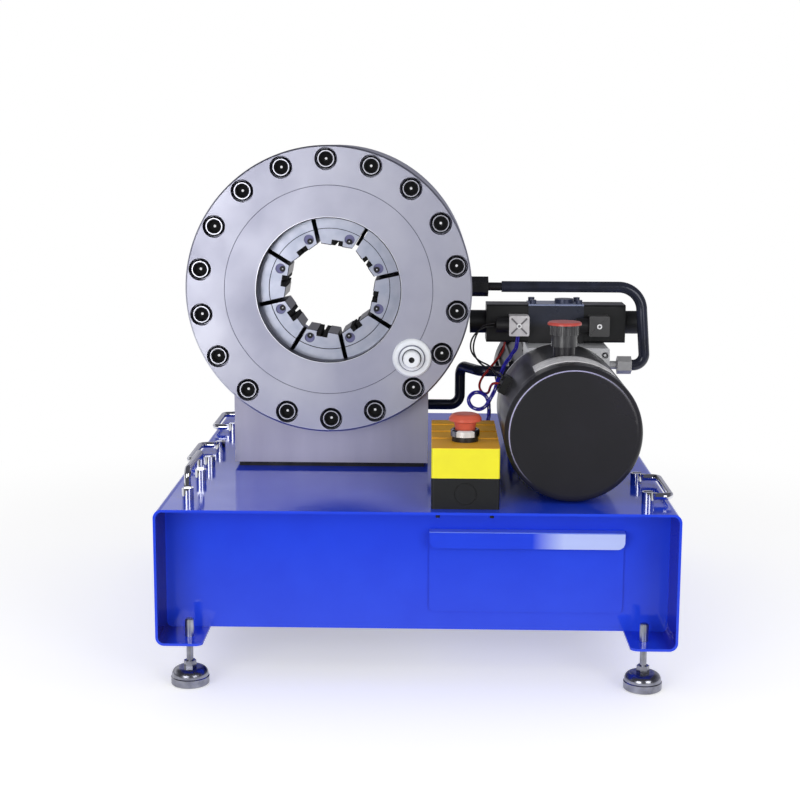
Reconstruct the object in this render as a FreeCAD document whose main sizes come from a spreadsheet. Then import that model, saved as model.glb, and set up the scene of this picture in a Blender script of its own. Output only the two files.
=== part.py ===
"""Hose crimping machine: an eight-die hydraulic head on a blue folded-sheet table.

Frame: the origin is on the floor under the middle of the table, +X to the operator's right,
+Y towards the back, +Z up. All lengths are in millimetres and all angles in degrees.
The head is described along its own axis, which runs towards +Y from the face of the ring, and
the power unit along the axis of its oil tank, which also runs towards +Y.
"""
import FreeCAD, Part
import math
import os
from types import SimpleNamespace

import Sketcher
from FreeCAD import Placement, Rotation, Vector

SIZES = {
    # table: one folded sheet with a recessed wall at each end
    "table_width": 600,
    "table_depth": 650,
    "band_height": 161,
    "foot_height": 55,
    "sheet": 3,
    "bend_radius": 10,
    "flange_width": 54,
    "flange_corner": 9,
    "wall_recess": 65,
    "fit_gap": 0.3,
    # drawer
    "drawer_left": 15,
    "drawer_width": 228,
    "drawer_sill": 26,
    "drawer_height": 99.5,
    "drawer_length": 300,
    "drawer_play": 2,
    "drawer_corner": 6,
    "tray_height": 74,
    "tray_sheet": 1.5,
    "grip_height": 19.5,
    "grip_reach": 15,
    "grip_sheet": 2,
    "grip_corner": 9,
    # levelling feet
    "foot_inset": 35,
    "foot_setback": 30,
    "pad_radius": 22.5,
    "pad_chamfer": 1.5,
    "pad_rim": 9.5,
    "pad_step": 1,
    "pad_height": 20.5,
    "pad_rounding": 8.5,
    "neck_hex": 8,
    "stud_radius": 4,
    "stud_height": 79,
    "stud_play": 0.05,
    "nut_flats": 13,
    "nut_height": 6.5,
    "adjuster_radius": 5.2,
    "adjuster_length": 20,
    # folding handles
    "handle_inset": 32,
    "handle_front": 55,
    "handle_middle": 236,
    "handle_rear": 473,
    "boss_spacing": 103,
    "boss_radius": 7,
    "boss_height": 14,
    "pivot_height": 8.5,
    "pivot_pin_radius": 2,
    "pivot_play": 0.05,
    "slot_width": 5,
    "tongue_width": 4.4,
    "bail_radius": 4,
    "bail_reach": 27,
    "bail_bend": 9,
    "screw_radius": 3,
    "screw_tail": 11,
    # control box with the emergency stop
    "box_left": 16.5,
    "box_front": 16,
    "box_width": 78,
    "box_depth": 180,
    "box_base_height": 36,
    "box_lid_height": 35,
    "box_wall": 2.5,
    "box_corner": 3,
    "lid_rib_start": 58,
    "lid_rib_pitch": 44.5,
    "lid_rib_width": 4,
    "lid_rib_rise": 1,
    "knockout_radius": 13,
    "knockout_line": 1.2,
    "knockout_depth": 0.8,
    "box_gland_radius": 7,
    "box_gland_length": 12.5,
    "box_screw_inset": 8,
    "box_screw_setback": 14,
    "box_screw_radius": 2.5,
    "box_screw_head": 4.5,
    "box_screw_head_height": 3,
    "box_screw_tail": 13,
    "box_nut_flats": 8,
    "box_nut_height": 4,
    "button_setback": 47,
    "collar_radius": 17,
    "collar_height": 14,
    "collar_foot_radius": 15.5,
    "collar_foot_height": 6,
    "collar_floor": 1,
    "collar_chamfer": 1.5,
    "collar_bore": 13.5,
    "mushroom_radius": 19,
    "mushroom_height": 10,
    "mushroom_brim": 2,
    "mushroom_edge": 5,
    "mushroom_slope": 3,
    "skirt_radius": 13,
    "skirt_tip_radius": 10.4,
    "skirt_length": 16,
    "contact_half": 15,
    "stem_radius": 4,
    "stem_length": 38,
    "stem_play": 0.2,
    "button_lift": 8,
    # crimping head
    "head_x": -112,
    "head_rise": 232,
    "face_setback": 198,
    "ring_radius": 177.5,
    "ring_length": 205,
    "cover_thickness": 35,
    "cylinder_bore": 140,
    "end_wall": 24,
    "seam_radius": 129.4,
    "ledge_radius": 118,
    "ledge_depth": 12,
    "insert_depth": 20,
    "bore_radius": 89,
    "sleeve_bore": 80,
    "sleeve_radius": 90,
    "bolt_circle": 161,
    "bolt_start": 91,
    "bolt_head_radius": 12,
    "bolt_head_height": 16,
    "bolt_radius": 8,
    "bolt_length": 60,
    "bolt_play": 0.5,
    "counterbore_radius": 14,
    "bolt_socket": 14,
    "socket_depth": 8,
    "ring_chamfer": 2,
    # dies and piston
    "die_opening": 54,
    "die_length": 74.7,
    "die_face_gap": 0.3,
    "die_rear_gap": 0.4,
    "die_slit": 5.4,
    "die_start": 35.5,
    "wedge_angle": 15,
    "wedge_front": 46.5,
    "wedge_reach": 110,
    "wedge_gap": 0.25,
    "step_radius": 75.4,
    "step_depth": 1.2,
    "clip_slot": 14,
    "clip_slot_depth": 7,
    "clip_gap": 3.6,
    "clip_recess": 0.6,
    "lock_reach": 62,
    "lock_offset": 14.6,
    "lock_radius": 3.6,
    "lock_pocket_radius": 6.3,
    "lock_pocket_shift": 2.6,
    "lock_pocket_depth": 3,
    "lock_socket_depth": 1.5,
    "skirt_outer": 127.5,
    "crown_front": 121,
    "crown_rear": 150,
    "crown_play": 0.06,
    "seal_depth": 5,
    "seal_width": 6,
    # closing dial and the rod behind it
    "dial_offset": 103.5,
    "dial_drop": 83,
    "bezel_radius": 24,
    "bezel_height": 6,
    "dial_flange_radius": 16,
    "dial_flange_height": 4,
    "dial_knob_radius": 10.5,
    "dial_knob_height": 14,
    "dial_hole_radius": 3.5,
    "spindle_radius": 1.9,
    "spindle_tip": 44,
    "rod_radius": 3.3,
    "rod_bore": 2,
    "rod_start": 24,
    "rod_length": 48,
    "rod_wall_end": 6,
    "rod_play": 0.06,
    # pedestal
    "pedestal_width": 248,
    "pedestal_setback": 243,
    "pedestal_depth": 112,
    "pedestal_height": 129,
    "plate_height": 6,
    "plate_inset": 5,
    # power unit
    "unit_gap": 5.5,
    "tank_clearance": 2,
    "tank_setback": 45,
    "tank_radius": 80,
    "tank_length": 200,
    "tank_wall": 3,
    "tank_face": 5,
    "tank_rim": 8,
    "cap_setback": 97,
    "cap_offset": 5,
    "neck_outer": 13,
    "neck_bore": 9.5,
    "neck_rise": 22,
    "cap_foot_radius": 15.5,
    "cap_foot_height": 14,
    "cap_radius": 17.2,
    "cap_height": 26,
    "cap_lift": 10,
    "cap_groove_radius": 1,
    "cap_grooves": 30,
    "cap_top_radius": 20.5,
    "cap_top_height": 3.5,
    "cap_top_chamfer": 1.5,
    "block_left": 42,
    "block_right": 62,
    "block_rise": 16,
    "block_height": 140,
    "block_length": 95,
    "spigot_length": 10,
    "flange_lip": 8,
    "coupling_radius": 24,
    "port_depth": 12,
    "block_plug_inset": 6,
    "block_plug_drop": 9,
    "block_plug_radius": 4.2,
    "valve_height": 51,
    "valve_depth": 48,
    "valve_shift": 22.5,
    "valve_gap": 5,
    "valve_left": 39,
    "valve_width": 71.5,
    "valve_chamfer": 1.5,
    "valve_screw_inset": 6,
    "valve_screw_radius": 4.25,
    "valve_screw_height": 5,
    "valve_cap_shift": 12,
    "valve_cap_radius": 12.5,
    "valve_cap_height": 5,
    "coil_length": 54,
    "coil_end_radius": 15,
    "coil_end_left": 21,
    "coil_end_right": 21,
    "plug_size": 26,
    "plug_depth": 25,
    "plug_drop": 13,
    "plug_corner": 2,
    "plug_rib_width": 2,
    "plug_rib_rise": 1,
    "plug_rib_reach": 14,
    "plug_screw_radius": 3.2,
    "plug_screw_rise": 1.5,
    "gland_radius": 9.5,
    "gland_length": 16,
    "motor_radius": 66,
    "motor_length": 200,
    "motor_fin": 5,
    "motor_fin_width": 3,
    "motor_bore": 40,
    "motor_end": 14,
    "rotor_play": 1,
    "shaft_radius": 9,
    "shaft_play": 0.05,
    "cowl_length": 58,
    "cowl_wall": 2,
    "fan_radius": 55,
    "fan_hub": 18,
    "fan_width": 18,
    "cradle_length": 60,
    "cradle_half": 56.8,
    "cradle_drop": 42.6,
    "terminal_setback": 120,
    "terminal_length": 24,
    "terminal_width": 22,
    "terminal_height": 9,
    "terminal_screw_radius": 3,
    "terminal_screw_rise": 2.5,
    "terminal_screw_pitch": 11,
    "pump_radius": 32,
    "pump_length": 90,
    "suction_radius": 8,
    "suction_setback": 15,
    "suction_drop": 60,
    # tubes and their fittings
    "tube_radius": 7,
    "tube_bend": 30,
    "elbow_bend": 14,
    "port_setback": 265,
    "tube_top_right": 101,
    "tube_low_right": 109,
    "port_drop": 100,
    "nut_across": 22,
    "nut_length": 20,
    "nut_overlap": 2,
    "block_nut_across": 20,
    "block_nut_start": 11.5,
    "block_nut_length": 18,
    "nipple_radius": 5.25,
    "nipple_length": 17,
    "return_setback": 377,
    "return_rise": 60,
    "banjo_x": -30,
    "banjo_radius": 11,
    "banjo_height": 38,
    "banjo_drop": 14,
    "banjo_head": 8,
    "return_turn_x": 55,
    "return_top": 114,
    "return_end_setback": 325,
}


class Size:
    """A length or an angle, known as a number and as the expression that gives it in the sheet."""

    def __init__(self, text, value):
        self.text = text
        self.value = float(value)

    def __add__(self, other):
        other = as_size(other)
        return Size(f"({self.text} + {other.text})", self.value + other.value)

    def __sub__(self, other):
        other = as_size(other)
        return Size(f"({self.text} - {other.text})", self.value - other.value)

    def __mul__(self, other):
        other = as_size(other)
        return Size(f"({self.text} * {other.text})", self.value * other.value)

    def __truediv__(self, other):
        other = as_size(other)
        return Size(f"({self.text} / {other.text})", self.value / other.value)

    def __neg__(self):
        return Size(f"(0 - {self.text})", -self.value)

    def __radd__(self, other):
        return as_size(other) + self

    def __rsub__(self, other):
        return as_size(other) - self

    def __rmul__(self, other):
        return as_size(other) * self

    def __float__(self):
        return self.value


def as_size(number):
    return number if isinstance(number, Size) else Size(f"({float(number)})", number)


def tangent(angle):
    angle = as_size(angle)
    return Size(f"tan({angle.text})", math.tan(math.radians(angle.value)))


def cosine(angle):
    angle = as_size(angle)
    return Size(f"cos({angle.text})", math.cos(math.radians(angle.value)))


def sine(angle):
    angle = as_size(angle)
    return Size(f"sin({angle.text})", math.sin(math.radians(angle.value)))


doc = FreeCAD.newDocument("crimping_machine")
sheet = doc.addObject("Spreadsheet::Sheet", "sizes")
for row, (word, number) in enumerate(SIZES.items(), start=1):
    sheet.set(f"A{row}", word)
    sheet.set(f"B{row}", str(number))
    sheet.setAlias(f"B{row}", word)
doc.recompute()
S = SimpleNamespace(**{word: Size("sizes." + word, number) for word, number in SIZES.items()})

DIES = 8
COVER_BOLTS = 18
NODES = []


def keep(thing):
    """Marks an object as a finished piece, which is written to a file under its label."""
    NODES.append(thing)
    return thing


def bind(thing, path, size):
    thing.setExpression(path, as_size(size).text)


def put(thing, at=(0, 0, 0), rotation=Rotation()):
    thing.Placement = Placement(Vector(), rotation)
    for axis, size in zip("xyz", at):
        bind(thing, "Placement.Base." + axis, size)
    return thing


# Turns that lay a solid's own +Z along an axis of the machine.
LAY = {
    "X": Rotation(Vector(0, 1, 0), 90),
    "-X": Rotation(Vector(0, 1, 0), -90),
    "Y": Rotation(Vector(1, 0, 0), -90),
    "-Y": Rotation(Vector(1, 0, 0), 90),
    "Z": Rotation(),
}
# Turns that lay a turned body's own +Y, which is its turning axis, along an axis of the machine.
TURN = {
    "X": Rotation(Vector(0, 0, 1), -90),
    "Y": Rotation(),
    "Z": Rotation(Vector(1, 0, 0), 90),
}


def box(name, x, y, z):
    """A block between a low and a high place on each axis."""
    thing = doc.addObject("Part::Box", name)
    for side, (low, high) in zip(("Length", "Width", "Height"), (x, y, z)):
        bind(thing, side, high - as_size(low))
    return put(thing, (x[0], y[0], z[0]))


def rod(name, radius, start, length, axis):
    thing = doc.addObject("Part::Cylinder", name)
    bind(thing, "Radius", radius)
    bind(thing, "Height", length)
    return put(thing, start, LAY[axis])


def hexagon(name, across_flats, start, length, axis):
    thing = doc.addObject("Part::Prism", name)
    thing.Polygon = 6
    bind(thing, "Circumradius", across_flats / (2 * cosine(30)))
    bind(thing, "Height", length)
    return put(thing, start, LAY[axis])


def group(name, *things):
    thing = doc.addObject("Part::Compound", name)
    thing.Links = list(things)
    return thing


def merge(name, *things):
    thing = doc.addObject("Part::MultiFuse", name)
    thing.Shapes = list(things)
    thing.Refine = True
    return thing


def cut(name, base, *tools):
    thing = doc.addObject("Part::Cut", name)
    thing.Base = base
    thing.Tool = tools[0] if len(tools) == 1 else merge(name + "_tools", *tools)
    return thing


def copy_of(name, source, at=(0, 0, 0), rotation=Rotation()):
    return put(group(name, source), at, rotation)


def new_body(name, at=(0, 0, 0), rotation=Rotation()):
    return put(doc.addObject("PartDesign::Body", name), at, rotation)


def origin_part(body, role):
    return next(part for part in body.Origin.OriginFeatures if part.Role == role)


def pin(sketch, geometry, vertex, u, v):
    """Holds a vertex of a sketch at a place that follows the sheet."""
    for kind, axis, place in (("DistanceX", -2, as_size(u)), ("DistanceY", -1, as_size(v))):
        if abs(place.value) < 1e-9:
            sketch.addConstraint(Sketcher.Constraint("PointOnObject", geometry, vertex, axis))
        else:
            rule = Sketcher.Constraint(kind, geometry, vertex, place.value)
            bind(sketch, f"Constraints[{sketch.addConstraint(rule)}]", place)


def heading(start, end):
    """The direction of an outline's side that runs along one axis of the sketch."""
    du = float(end[0]) - float(start[0])
    dv = float(end[1]) - float(start[1])
    length = math.hypot(du, dv)
    return round(du / length), round(dv / length)


def polygon(*points):
    """A closed outline, counterclockwise; a third value in a point rounds that corner."""

    def draw(sketch):
        corners = []
        for index, point in enumerate(points):
            if len(point) == 2:
                corners.append([point[:2]])
                continue
            back = heading(point, points[index - 1])
            ahead = heading(point, points[(index + 1) % len(points)])
            corners.append([(point[0] + point[2] * du, point[1] + point[2] * dv)
                            for du, dv in (back, ahead)])
        sides = []
        for index, corner in enumerate(corners):
            start = Vector(float(corner[-1][0]), float(corner[-1][1]))
            after = corners[(index + 1) % len(corners)]
            end = Vector(float(after[0][0]), float(after[0][1]))
            sides.append(sketch.addGeometry(Part.LineSegment(start, end)))
        for index, corner in enumerate(corners):
            side_in, side_out = sides[index - 1], sides[index]
            pin(sketch, side_out, 1, *corner[-1])
            if len(corner) == 1:
                sketch.addConstraint(Sketcher.Constraint("Coincident", side_in, 2, side_out, 1))
                continue
            pin(sketch, side_in, 2, *corner[0])
            radius = as_size(points[index][2])
            u, v = float(points[index][0]), float(points[index][1])
            first = Vector(float(corner[0][0]), float(corner[0][1]))
            last = Vector(float(corner[1][0]), float(corner[1][1]))
            centre = first + last - Vector(u, v)
            turn = (Vector(u, v) - first).cross(last - Vector(u, v)).z
            start, end, first_vertex, last_vertex = (first, last, 1, 2) if turn > 0 else (last, first, 2, 1)
            circle = Part.Circle(centre, Vector(0, 0, 1), radius.value)
            low = math.atan2(start.y - centre.y, start.x - centre.x)
            high = math.atan2(end.y - centre.y, end.x - centre.x)
            if high < low:
                high += 2 * math.pi
            arc = sketch.addGeometry(Part.ArcOfCircle(circle, low, high))
            sketch.addConstraint(Sketcher.Constraint("Coincident", side_in, 2, arc, first_vertex))
            sketch.addConstraint(Sketcher.Constraint("Coincident", side_out, 1, arc, last_vertex))
            rule = Sketcher.Constraint("Radius", arc, radius.value)
            bind(sketch, f"Constraints[{sketch.addConstraint(rule)}]", radius)

    return draw


def rectangle(u, v, rounding=None):
    corners = [(u[0], v[0]), (u[1], v[0]), (u[1], v[1]), (u[0], v[1])]
    return polygon(*[corner if rounding is None else (*corner, rounding) for corner in corners])


def circle(u, v, radius):
    def draw(sketch):
        radius_size = as_size(radius)
        centre = Vector(float(u), float(v))
        drawn = sketch.addGeometry(Part.Circle(centre, Vector(0, 0, 1), radius_size.value))
        pin(sketch, drawn, 3, u, v)
        rule = Sketcher.Constraint("Radius", drawn, radius_size.value)
        bind(sketch, f"Constraints[{sketch.addConstraint(rule)}]", radius_size)

    return draw


PLANES = {"X": ("YZ_Plane", 1), "Y": ("XZ_Plane", -1), "Z": ("XY_Plane", 1)}


def sketch_on(body, name, axis, place, *outlines):
    """A sketch across an axis: it holds (y, z) across X, (x, z) across Y and (x, y) across Z."""
    role, sense = PLANES[axis]
    sketch = body.newObject("Sketcher::SketchObject", name)
    sketch.AttachmentSupport = [(origin_part(body, role), "")]
    sketch.MapMode = "FlatFace"
    bind(sketch, "AttachmentOffset.Base.z", sense * as_size(place))
    for outline in outlines:
        outline(sketch)
    return sketch


def extrude(body, kind, name, axis, span, *outlines):
    """A Pad or a Pocket from the low to the high place of span along an axis."""
    sketch = sketch_on(body, name + "_sketch", axis, span[0], *outlines)
    feature = body.newObject("PartDesign::" + kind, name)
    feature.Profile = sketch
    bind(feature, "Length", span[1] - as_size(span[0]))
    feature.Reversed = (axis == "Y") == (kind == "Pad")
    sketch.Visibility = False
    return feature


def turned(name, at, along, *profiles):
    """A body turned about an axis, from profiles of (radius, place along the axis)."""
    body = new_body(name, at, TURN[along])
    sketch = sketch_on(body, name + "_profile", "Z", 0, *profiles)
    feature = body.newObject("PartDesign::Revolution", name + "_turning")
    feature.Profile = sketch
    feature.ReferenceAxis = (sketch, ["V_Axis"])
    feature.Angle = 360
    return body


def dress(body, kind, name, size, *points):
    """Fillets or chamfers the edges that pass through the points."""
    doc.recompute()
    base = body.Tip
    spots = [Part.Vertex(*[float(place) for place in point]) for point in points]
    names = []
    for number, edge in enumerate(base.Shape.Edges, start=1):
        if any(edge.distToShape(spot)[0] < 1e-3 for spot in spots):
            names.append(f"Edge{number}")
    feature = body.newObject("PartDesign::" + kind, name)
    feature.Base = (base, names)
    bind(feature, "Radius" if kind == "Fillet" else "Size", size)
    return feature


def around_axis(body, name, features, count):
    """Repeats features of a body evenly about its own Y axis."""
    pattern = body.newObject("PartDesign::PolarPattern", name)
    pattern.Originals = list(features)
    pattern.Axis = (origin_part(body, "Y_Axis"), [""])
    pattern.Angle = 360
    pattern.Occurrences = count
    body.Tip = pattern
    return pattern


def path_through(points, radii):
    """A wire of straight runs joined by tangent arcs, one radius for each inner point."""
    edges = []
    start = points[0]
    for before, corner, after, radius in zip(points, points[1:], points[2:], radii):
        back = (before - corner).normalize()
        ahead = (after - corner).normalize()
        half = back.getAngle(ahead) / 2
        reach = radius / math.tan(half)
        middle = corner + (back + ahead).normalize() * (radius / math.sin(half) - radius)
        first, last = corner + back * reach, corner + ahead * reach
        edges.append(Part.LineSegment(start, first).toShape())
        edges.append(Part.Arc(first, middle, last).toShape())
        start = last
    edges.append(Part.LineSegment(start, points[-1]).toShape())
    return Part.Wire(edges)


def tube_shape(wire, radius):
    """A round section carried along a wire, with its volume compared to section times length."""
    start = wire.Edges[0]
    ring = Part.Circle(start.valueAt(start.FirstParameter), start.tangentAt(start.FirstParameter), radius)
    solid = wire.makePipeShell([Part.Wire(ring.toShape())], True, False)
    expected = math.pi * radius * radius * wire.Length
    if abs(solid.Volume / expected - 1) > 0.002:
        raise RuntimeError(f"tube volume {solid.Volume:.0f} differs from {expected:.0f}")
    return solid


def shaped(name, shape):
    thing = doc.addObject("Part::Feature", name)
    thing.Shape = shape
    return thing


# Shared places
TABLE_TOP = S.foot_height + S.band_height
HALF_WIDTH = S.table_width / 2
HALF_DEPTH = S.table_depth / 2
FRONT = -HALF_DEPTH
SHEET_TOP_UNDERSIDE = TABLE_TOP - S.sheet
FLANGE_TOP = S.foot_height + S.sheet
FOOT_X = HALF_WIDTH - S.foot_inset
FOOT_Y = HALF_DEPTH - S.foot_setback
HANDLE_X = HALF_WIDTH - S.handle_inset
HANDLES = [
    ("handle_bail_1", -1, S.handle_front, True),
    ("handle_bail_2", -1, S.handle_middle, False),
    ("handle_bail_3", -1, S.handle_rear, False),
    ("handle_bail_4", 1, S.handle_front, False),
    ("handle_bail_5", 1, S.handle_rear, False),
]
BUTTON_X = S.box_left + S.box_width / 2
BUTTON_Y = FRONT + S.box_front + S.button_setback
BOX_FRONT = FRONT + S.box_front
BOX_TOP = TABLE_TOP + S.box_base_height + S.box_lid_height
HEAD = (S.head_x, FRONT + S.face_setback, TABLE_TOP + S.head_rise)
UNIT = (S.box_left + S.box_width + S.unit_gap + S.tank_radius, FRONT + S.tank_setback,
        TABLE_TOP + S.tank_clearance + S.tank_radius)
TANK_REAR = UNIT[1] + S.tank_length
BLOCK_REAR = TANK_REAR + S.block_length
BLOCK_TOP = TABLE_TOP + S.block_rise + S.block_height
BLOCK_LEFT = UNIT[0] - S.block_left
BLOCK_RIGHT = UNIT[0] + S.block_right
VALVE_LEFT = UNIT[0] - S.valve_left
MOTOR_REAR = BLOCK_REAR + S.motor_length


def handle_place(side, setback):
    """The place across and along the table of a handle's first boss."""
    return side * HANDLE_X, FRONT + setback


# Table shell: top, sides and bottom flanges are one folded sheet, open at the front and back.
def base_shell():
    body = new_body("base_shell")
    outside = (S.foot_height, TABLE_TOP)
    extrude(body, "Pad", "shell_block", "Y", (FRONT, HALF_DEPTH),
            rectangle((-HALF_WIDTH, HALF_WIDTH), outside, S.bend_radius))
    inner = HALF_WIDTH - S.sheet
    extrude(body, "Pocket", "shell_inside", "Y", (FRONT, HALF_DEPTH),
            rectangle((-inner, inner), (FLANGE_TOP, SHEET_TOP_UNDERSIDE), S.bend_radius - S.sheet))
    reach = HALF_WIDTH - S.flange_width
    extrude(body, "Pocket", "shell_mouth", "Z", (S.foot_height, FLANGE_TOP),
            rectangle((-reach, reach), (FRONT, HALF_DEPTH)))
    middle = S.foot_height + S.sheet / 2
    dress(body, "Fillet", "flange_corners", S.flange_corner,
          *[(x, y, middle) for x in (-reach, reach) for y in (FRONT, HALF_DEPTH)])
    extrude(body, "Pocket", "stud_holes", "Z", (S.foot_height, FLANGE_TOP),
            *[circle(x, y, S.stud_radius + S.bolt_play)
              for x in (-FOOT_X, FOOT_X) for y in (-FOOT_Y, FOOT_Y)])
    screws = []
    for _, side, setback, _ in HANDLES:
        x, first = handle_place(side, setback)
        screws += [circle(x, y, S.screw_radius + S.fit_gap) for y in (first, first + S.boss_spacing)]
    screws += [circle(x, y, S.box_screw_radius + S.fit_gap) for x, y in BOX_SCREWS]
    extrude(body, "Pocket", "screw_holes", "Z", (SHEET_TOP_UNDERSIDE, TABLE_TOP), *screws)
    return keep(body)


def wall(name, low, high, *holes):
    """An end wall of the table, with both its long edges folded over against top and flanges."""
    body = new_body(name)
    inner = HALF_WIDTH - S.sheet
    extrude(body, "Pad", name + "_sheet", "Y", (low, high),
            rectangle((-inner, inner), (FLANGE_TOP, SHEET_TOP_UNDERSIDE), S.bend_radius - S.sheet))
    for number, hole in enumerate(holes):
        extrude(body, "Pocket", f"{name}_hole_{number}", "Y", (low, high), hole)
    return keep(body)


# Drawer: a front laid over the wall with a folded grip strip, a sheet tray, and two hung runners.
DRAWER_LEFT = S.drawer_left
DRAWER_RIGHT = S.drawer_left + S.drawer_width
DRAWER_BOTTOM = S.foot_height + S.drawer_sill
DRAWER_TOP = DRAWER_BOTTOM + S.drawer_height
WALL_FRONT = FRONT + S.wall_recess
TRAY_LEFT = DRAWER_LEFT + S.drawer_play * 2
TRAY_RIGHT = DRAWER_RIGHT - S.drawer_play * 2
TRAY_BOTTOM = DRAWER_BOTTOM + S.drawer_play * 2
TRAY_TOP = TRAY_BOTTOM + S.tray_height
PANEL_BACK = WALL_FRONT - S.fit_gap
PANEL_FRONT = PANEL_BACK - S.sheet
TRAY_BACK = WALL_FRONT + S.drawer_length


def drawer_front():
    body = new_body("drawer_front")
    face = polygon(
        (DRAWER_LEFT, DRAWER_BOTTOM, S.drawer_corner), (DRAWER_RIGHT, DRAWER_BOTTOM, S.drawer_corner),
        (DRAWER_RIGHT, DRAWER_TOP), (DRAWER_LEFT, DRAWER_TOP))
    extrude(body, "Pad", "drawer_panel", "Y", (PANEL_FRONT, PANEL_BACK), face)
    lip = WALL_FRONT - S.grip_reach
    strip = polygon(
        (lip, DRAWER_TOP - S.grip_height),
        (lip + S.grip_sheet, DRAWER_TOP - S.grip_height),
        (lip + S.grip_sheet, DRAWER_TOP - S.grip_sheet),
        (PANEL_FRONT, DRAWER_TOP - S.grip_sheet),
        (PANEL_FRONT, DRAWER_TOP),
        (lip, DRAWER_TOP, S.grip_sheet),
    )
    extrude(body, "Pad", "drawer_grip", "X", (DRAWER_LEFT, DRAWER_RIGHT), strip)
    dress(body, "Fillet", "grip_corners", S.grip_corner,
          *[(x, lip + S.grip_sheet / 2, DRAWER_TOP - S.grip_height) for x in (DRAWER_LEFT, DRAWER_RIGHT)])
    return keep(body)


def drawer_tray():
    body = new_body("drawer_tray")
    extrude(body, "Pad", "tray_block", "Y", (PANEL_BACK, TRAY_BACK),
            rectangle((TRAY_LEFT, TRAY_RIGHT), (TRAY_BOTTOM, TRAY_TOP)))
    inside = rectangle((TRAY_LEFT + S.tray_sheet, TRAY_RIGHT - S.tray_sheet),
                       (PANEL_BACK + S.tray_sheet, TRAY_BACK - S.tray_sheet))
    extrude(body, "Pocket", "tray_inside", "Z", (TRAY_BOTTOM + S.tray_sheet, TRAY_TOP), inside)
    return keep(body)


def drawer_runners():
    """Two folded hangers under the top sheet; their ledges carry the tray along its whole length."""
    pieces = []
    ledge = TRAY_BOTTOM - S.fit_gap
    back = (WALL_FRONT + S.sheet + S.fit_gap, TRAY_BACK + S.drawer_play)
    for name, edge, sense in (("left_runner", TRAY_LEFT, -1), ("right_runner", TRAY_RIGHT, 1)):
        web = edge + sense * (S.drawer_play / 2)
        outer = web + sense * S.tray_sheet
        inner = web - sense * S.bend_radius * 2
        shape = [
            (inner, ledge - S.tray_sheet), (outer, ledge - S.tray_sheet),
            (outer, SHEET_TOP_UNDERSIDE - S.tray_sheet),
            (outer + sense * S.bend_radius * 2, SHEET_TOP_UNDERSIDE - S.tray_sheet),
            (outer + sense * S.bend_radius * 2, SHEET_TOP_UNDERSIDE),
            (web, SHEET_TOP_UNDERSIDE), (web, ledge), (inner, ledge),
        ]
        body = new_body(name)
        extrude(body, "Pad", name + "_rail", "Y", back, polygon(*(shape if sense > 0 else shape[::-1])))
        pieces.append(body)
    return keep(group("drawer_runners", *pieces))


# Levelling feet: a turned pad with a rounded dome, a hexagon neck and a stud in a nut and a sleeve.
def levelling_foot(number, side, end):
    name = f"levelling_foot_{number}"
    at = (side * FOOT_X, end * FOOT_Y, 0)
    dome = S.pad_radius - S.pad_step
    pad = turned(name + "_pad", at, "Z", polygon(
        (0, 0), (S.pad_radius - S.pad_chamfer, 0), (S.pad_radius, S.pad_chamfer), (S.pad_radius, S.pad_rim),
        (dome, S.pad_rim + S.pad_step), (dome, S.pad_height, S.pad_rounding), (0, S.pad_height)))
    neck = hexagon(name + "_neck", S.nut_flats, (at[0], at[1], S.pad_height), S.neck_hex, "Z")
    low = S.pad_height + S.neck_hex
    stud = rod(name + "_stud", S.stud_radius, (at[0], at[1], low), S.stud_height - low, "Z")
    return keep(merge(name, pad, neck, stud))


def foot_nuts():
    """On each stud a hexagon nut under the flange, and a round adjusting sleeve over it."""
    pieces = []
    low = S.foot_height - S.nut_height
    for side in (-1, 1):
        for end in (-1, 1):
            at = (side * FOOT_X, end * FOOT_Y)
            corner = f"{'right' if side > 0 else 'left'}_{'rear' if end > 0 else 'front'}"
            nut = hexagon("nut_blank_" + corner, S.nut_flats, (*at, low), S.nut_height, "Z")
            sleeve = rod("sleeve_blank_" + corner, S.adjuster_radius, (*at, FLANGE_TOP),
                         S.adjuster_length, "Z")
            bore = rod("stud_bore_" + corner, S.stud_radius + S.stud_play, (*at, low),
                       S.stud_height, "Z")
            pieces += [cut("nut_" + corner, nut, bore), cut("sleeve_" + corner, sleeve, bore)]
    return keep(group("foot_nuts", *pieces))


# Folding handles: ten slotted bosses screwed to the table, and a round-bar bail in each pair.
PIVOT_Z = TABLE_TOP + S.pivot_height


def handle_bosses():
    blanks = []
    for side in (-1, 1):
        name = "boss_right" if side > 0 else "boss_left"
        post = rod(name + "_post", S.boss_radius, (0, 0, 0), S.boss_height, "Z")
        tail = rod(name + "_tail", S.screw_radius, (0, 0, -S.screw_tail), S.screw_tail, "Z")
        floor = S.pivot_height - S.bail_radius - S.fit_gap
        outward = (-S.bail_radius - S.fit_gap, S.boss_radius + 1)
        slot = box(name + "_slot", outward if side > 0 else (-outward[1], -outward[0]),
                   (-S.slot_width / 2, S.slot_width / 2), (floor, S.boss_height + 1))
        pivot = rod(name + "_pin", S.pivot_pin_radius, (0, -S.boss_radius + 1, S.pivot_height),
                    2 * S.boss_radius - 2, "Y")
        blanks.append(merge(name, cut(name + "_slotted", merge(name + "_turned", post, tail), slot), pivot))
    bosses = []
    for name, side, setback, _ in HANDLES:
        x, first = handle_place(side, setback)
        for end, y in enumerate((first, first + S.boss_spacing)):
            bosses.append(copy_of(f"{name}_boss_{end}", blanks[side > 0], (x, y, TABLE_TOP)))
    return keep(group("handle_bosses", *bosses))


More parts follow.
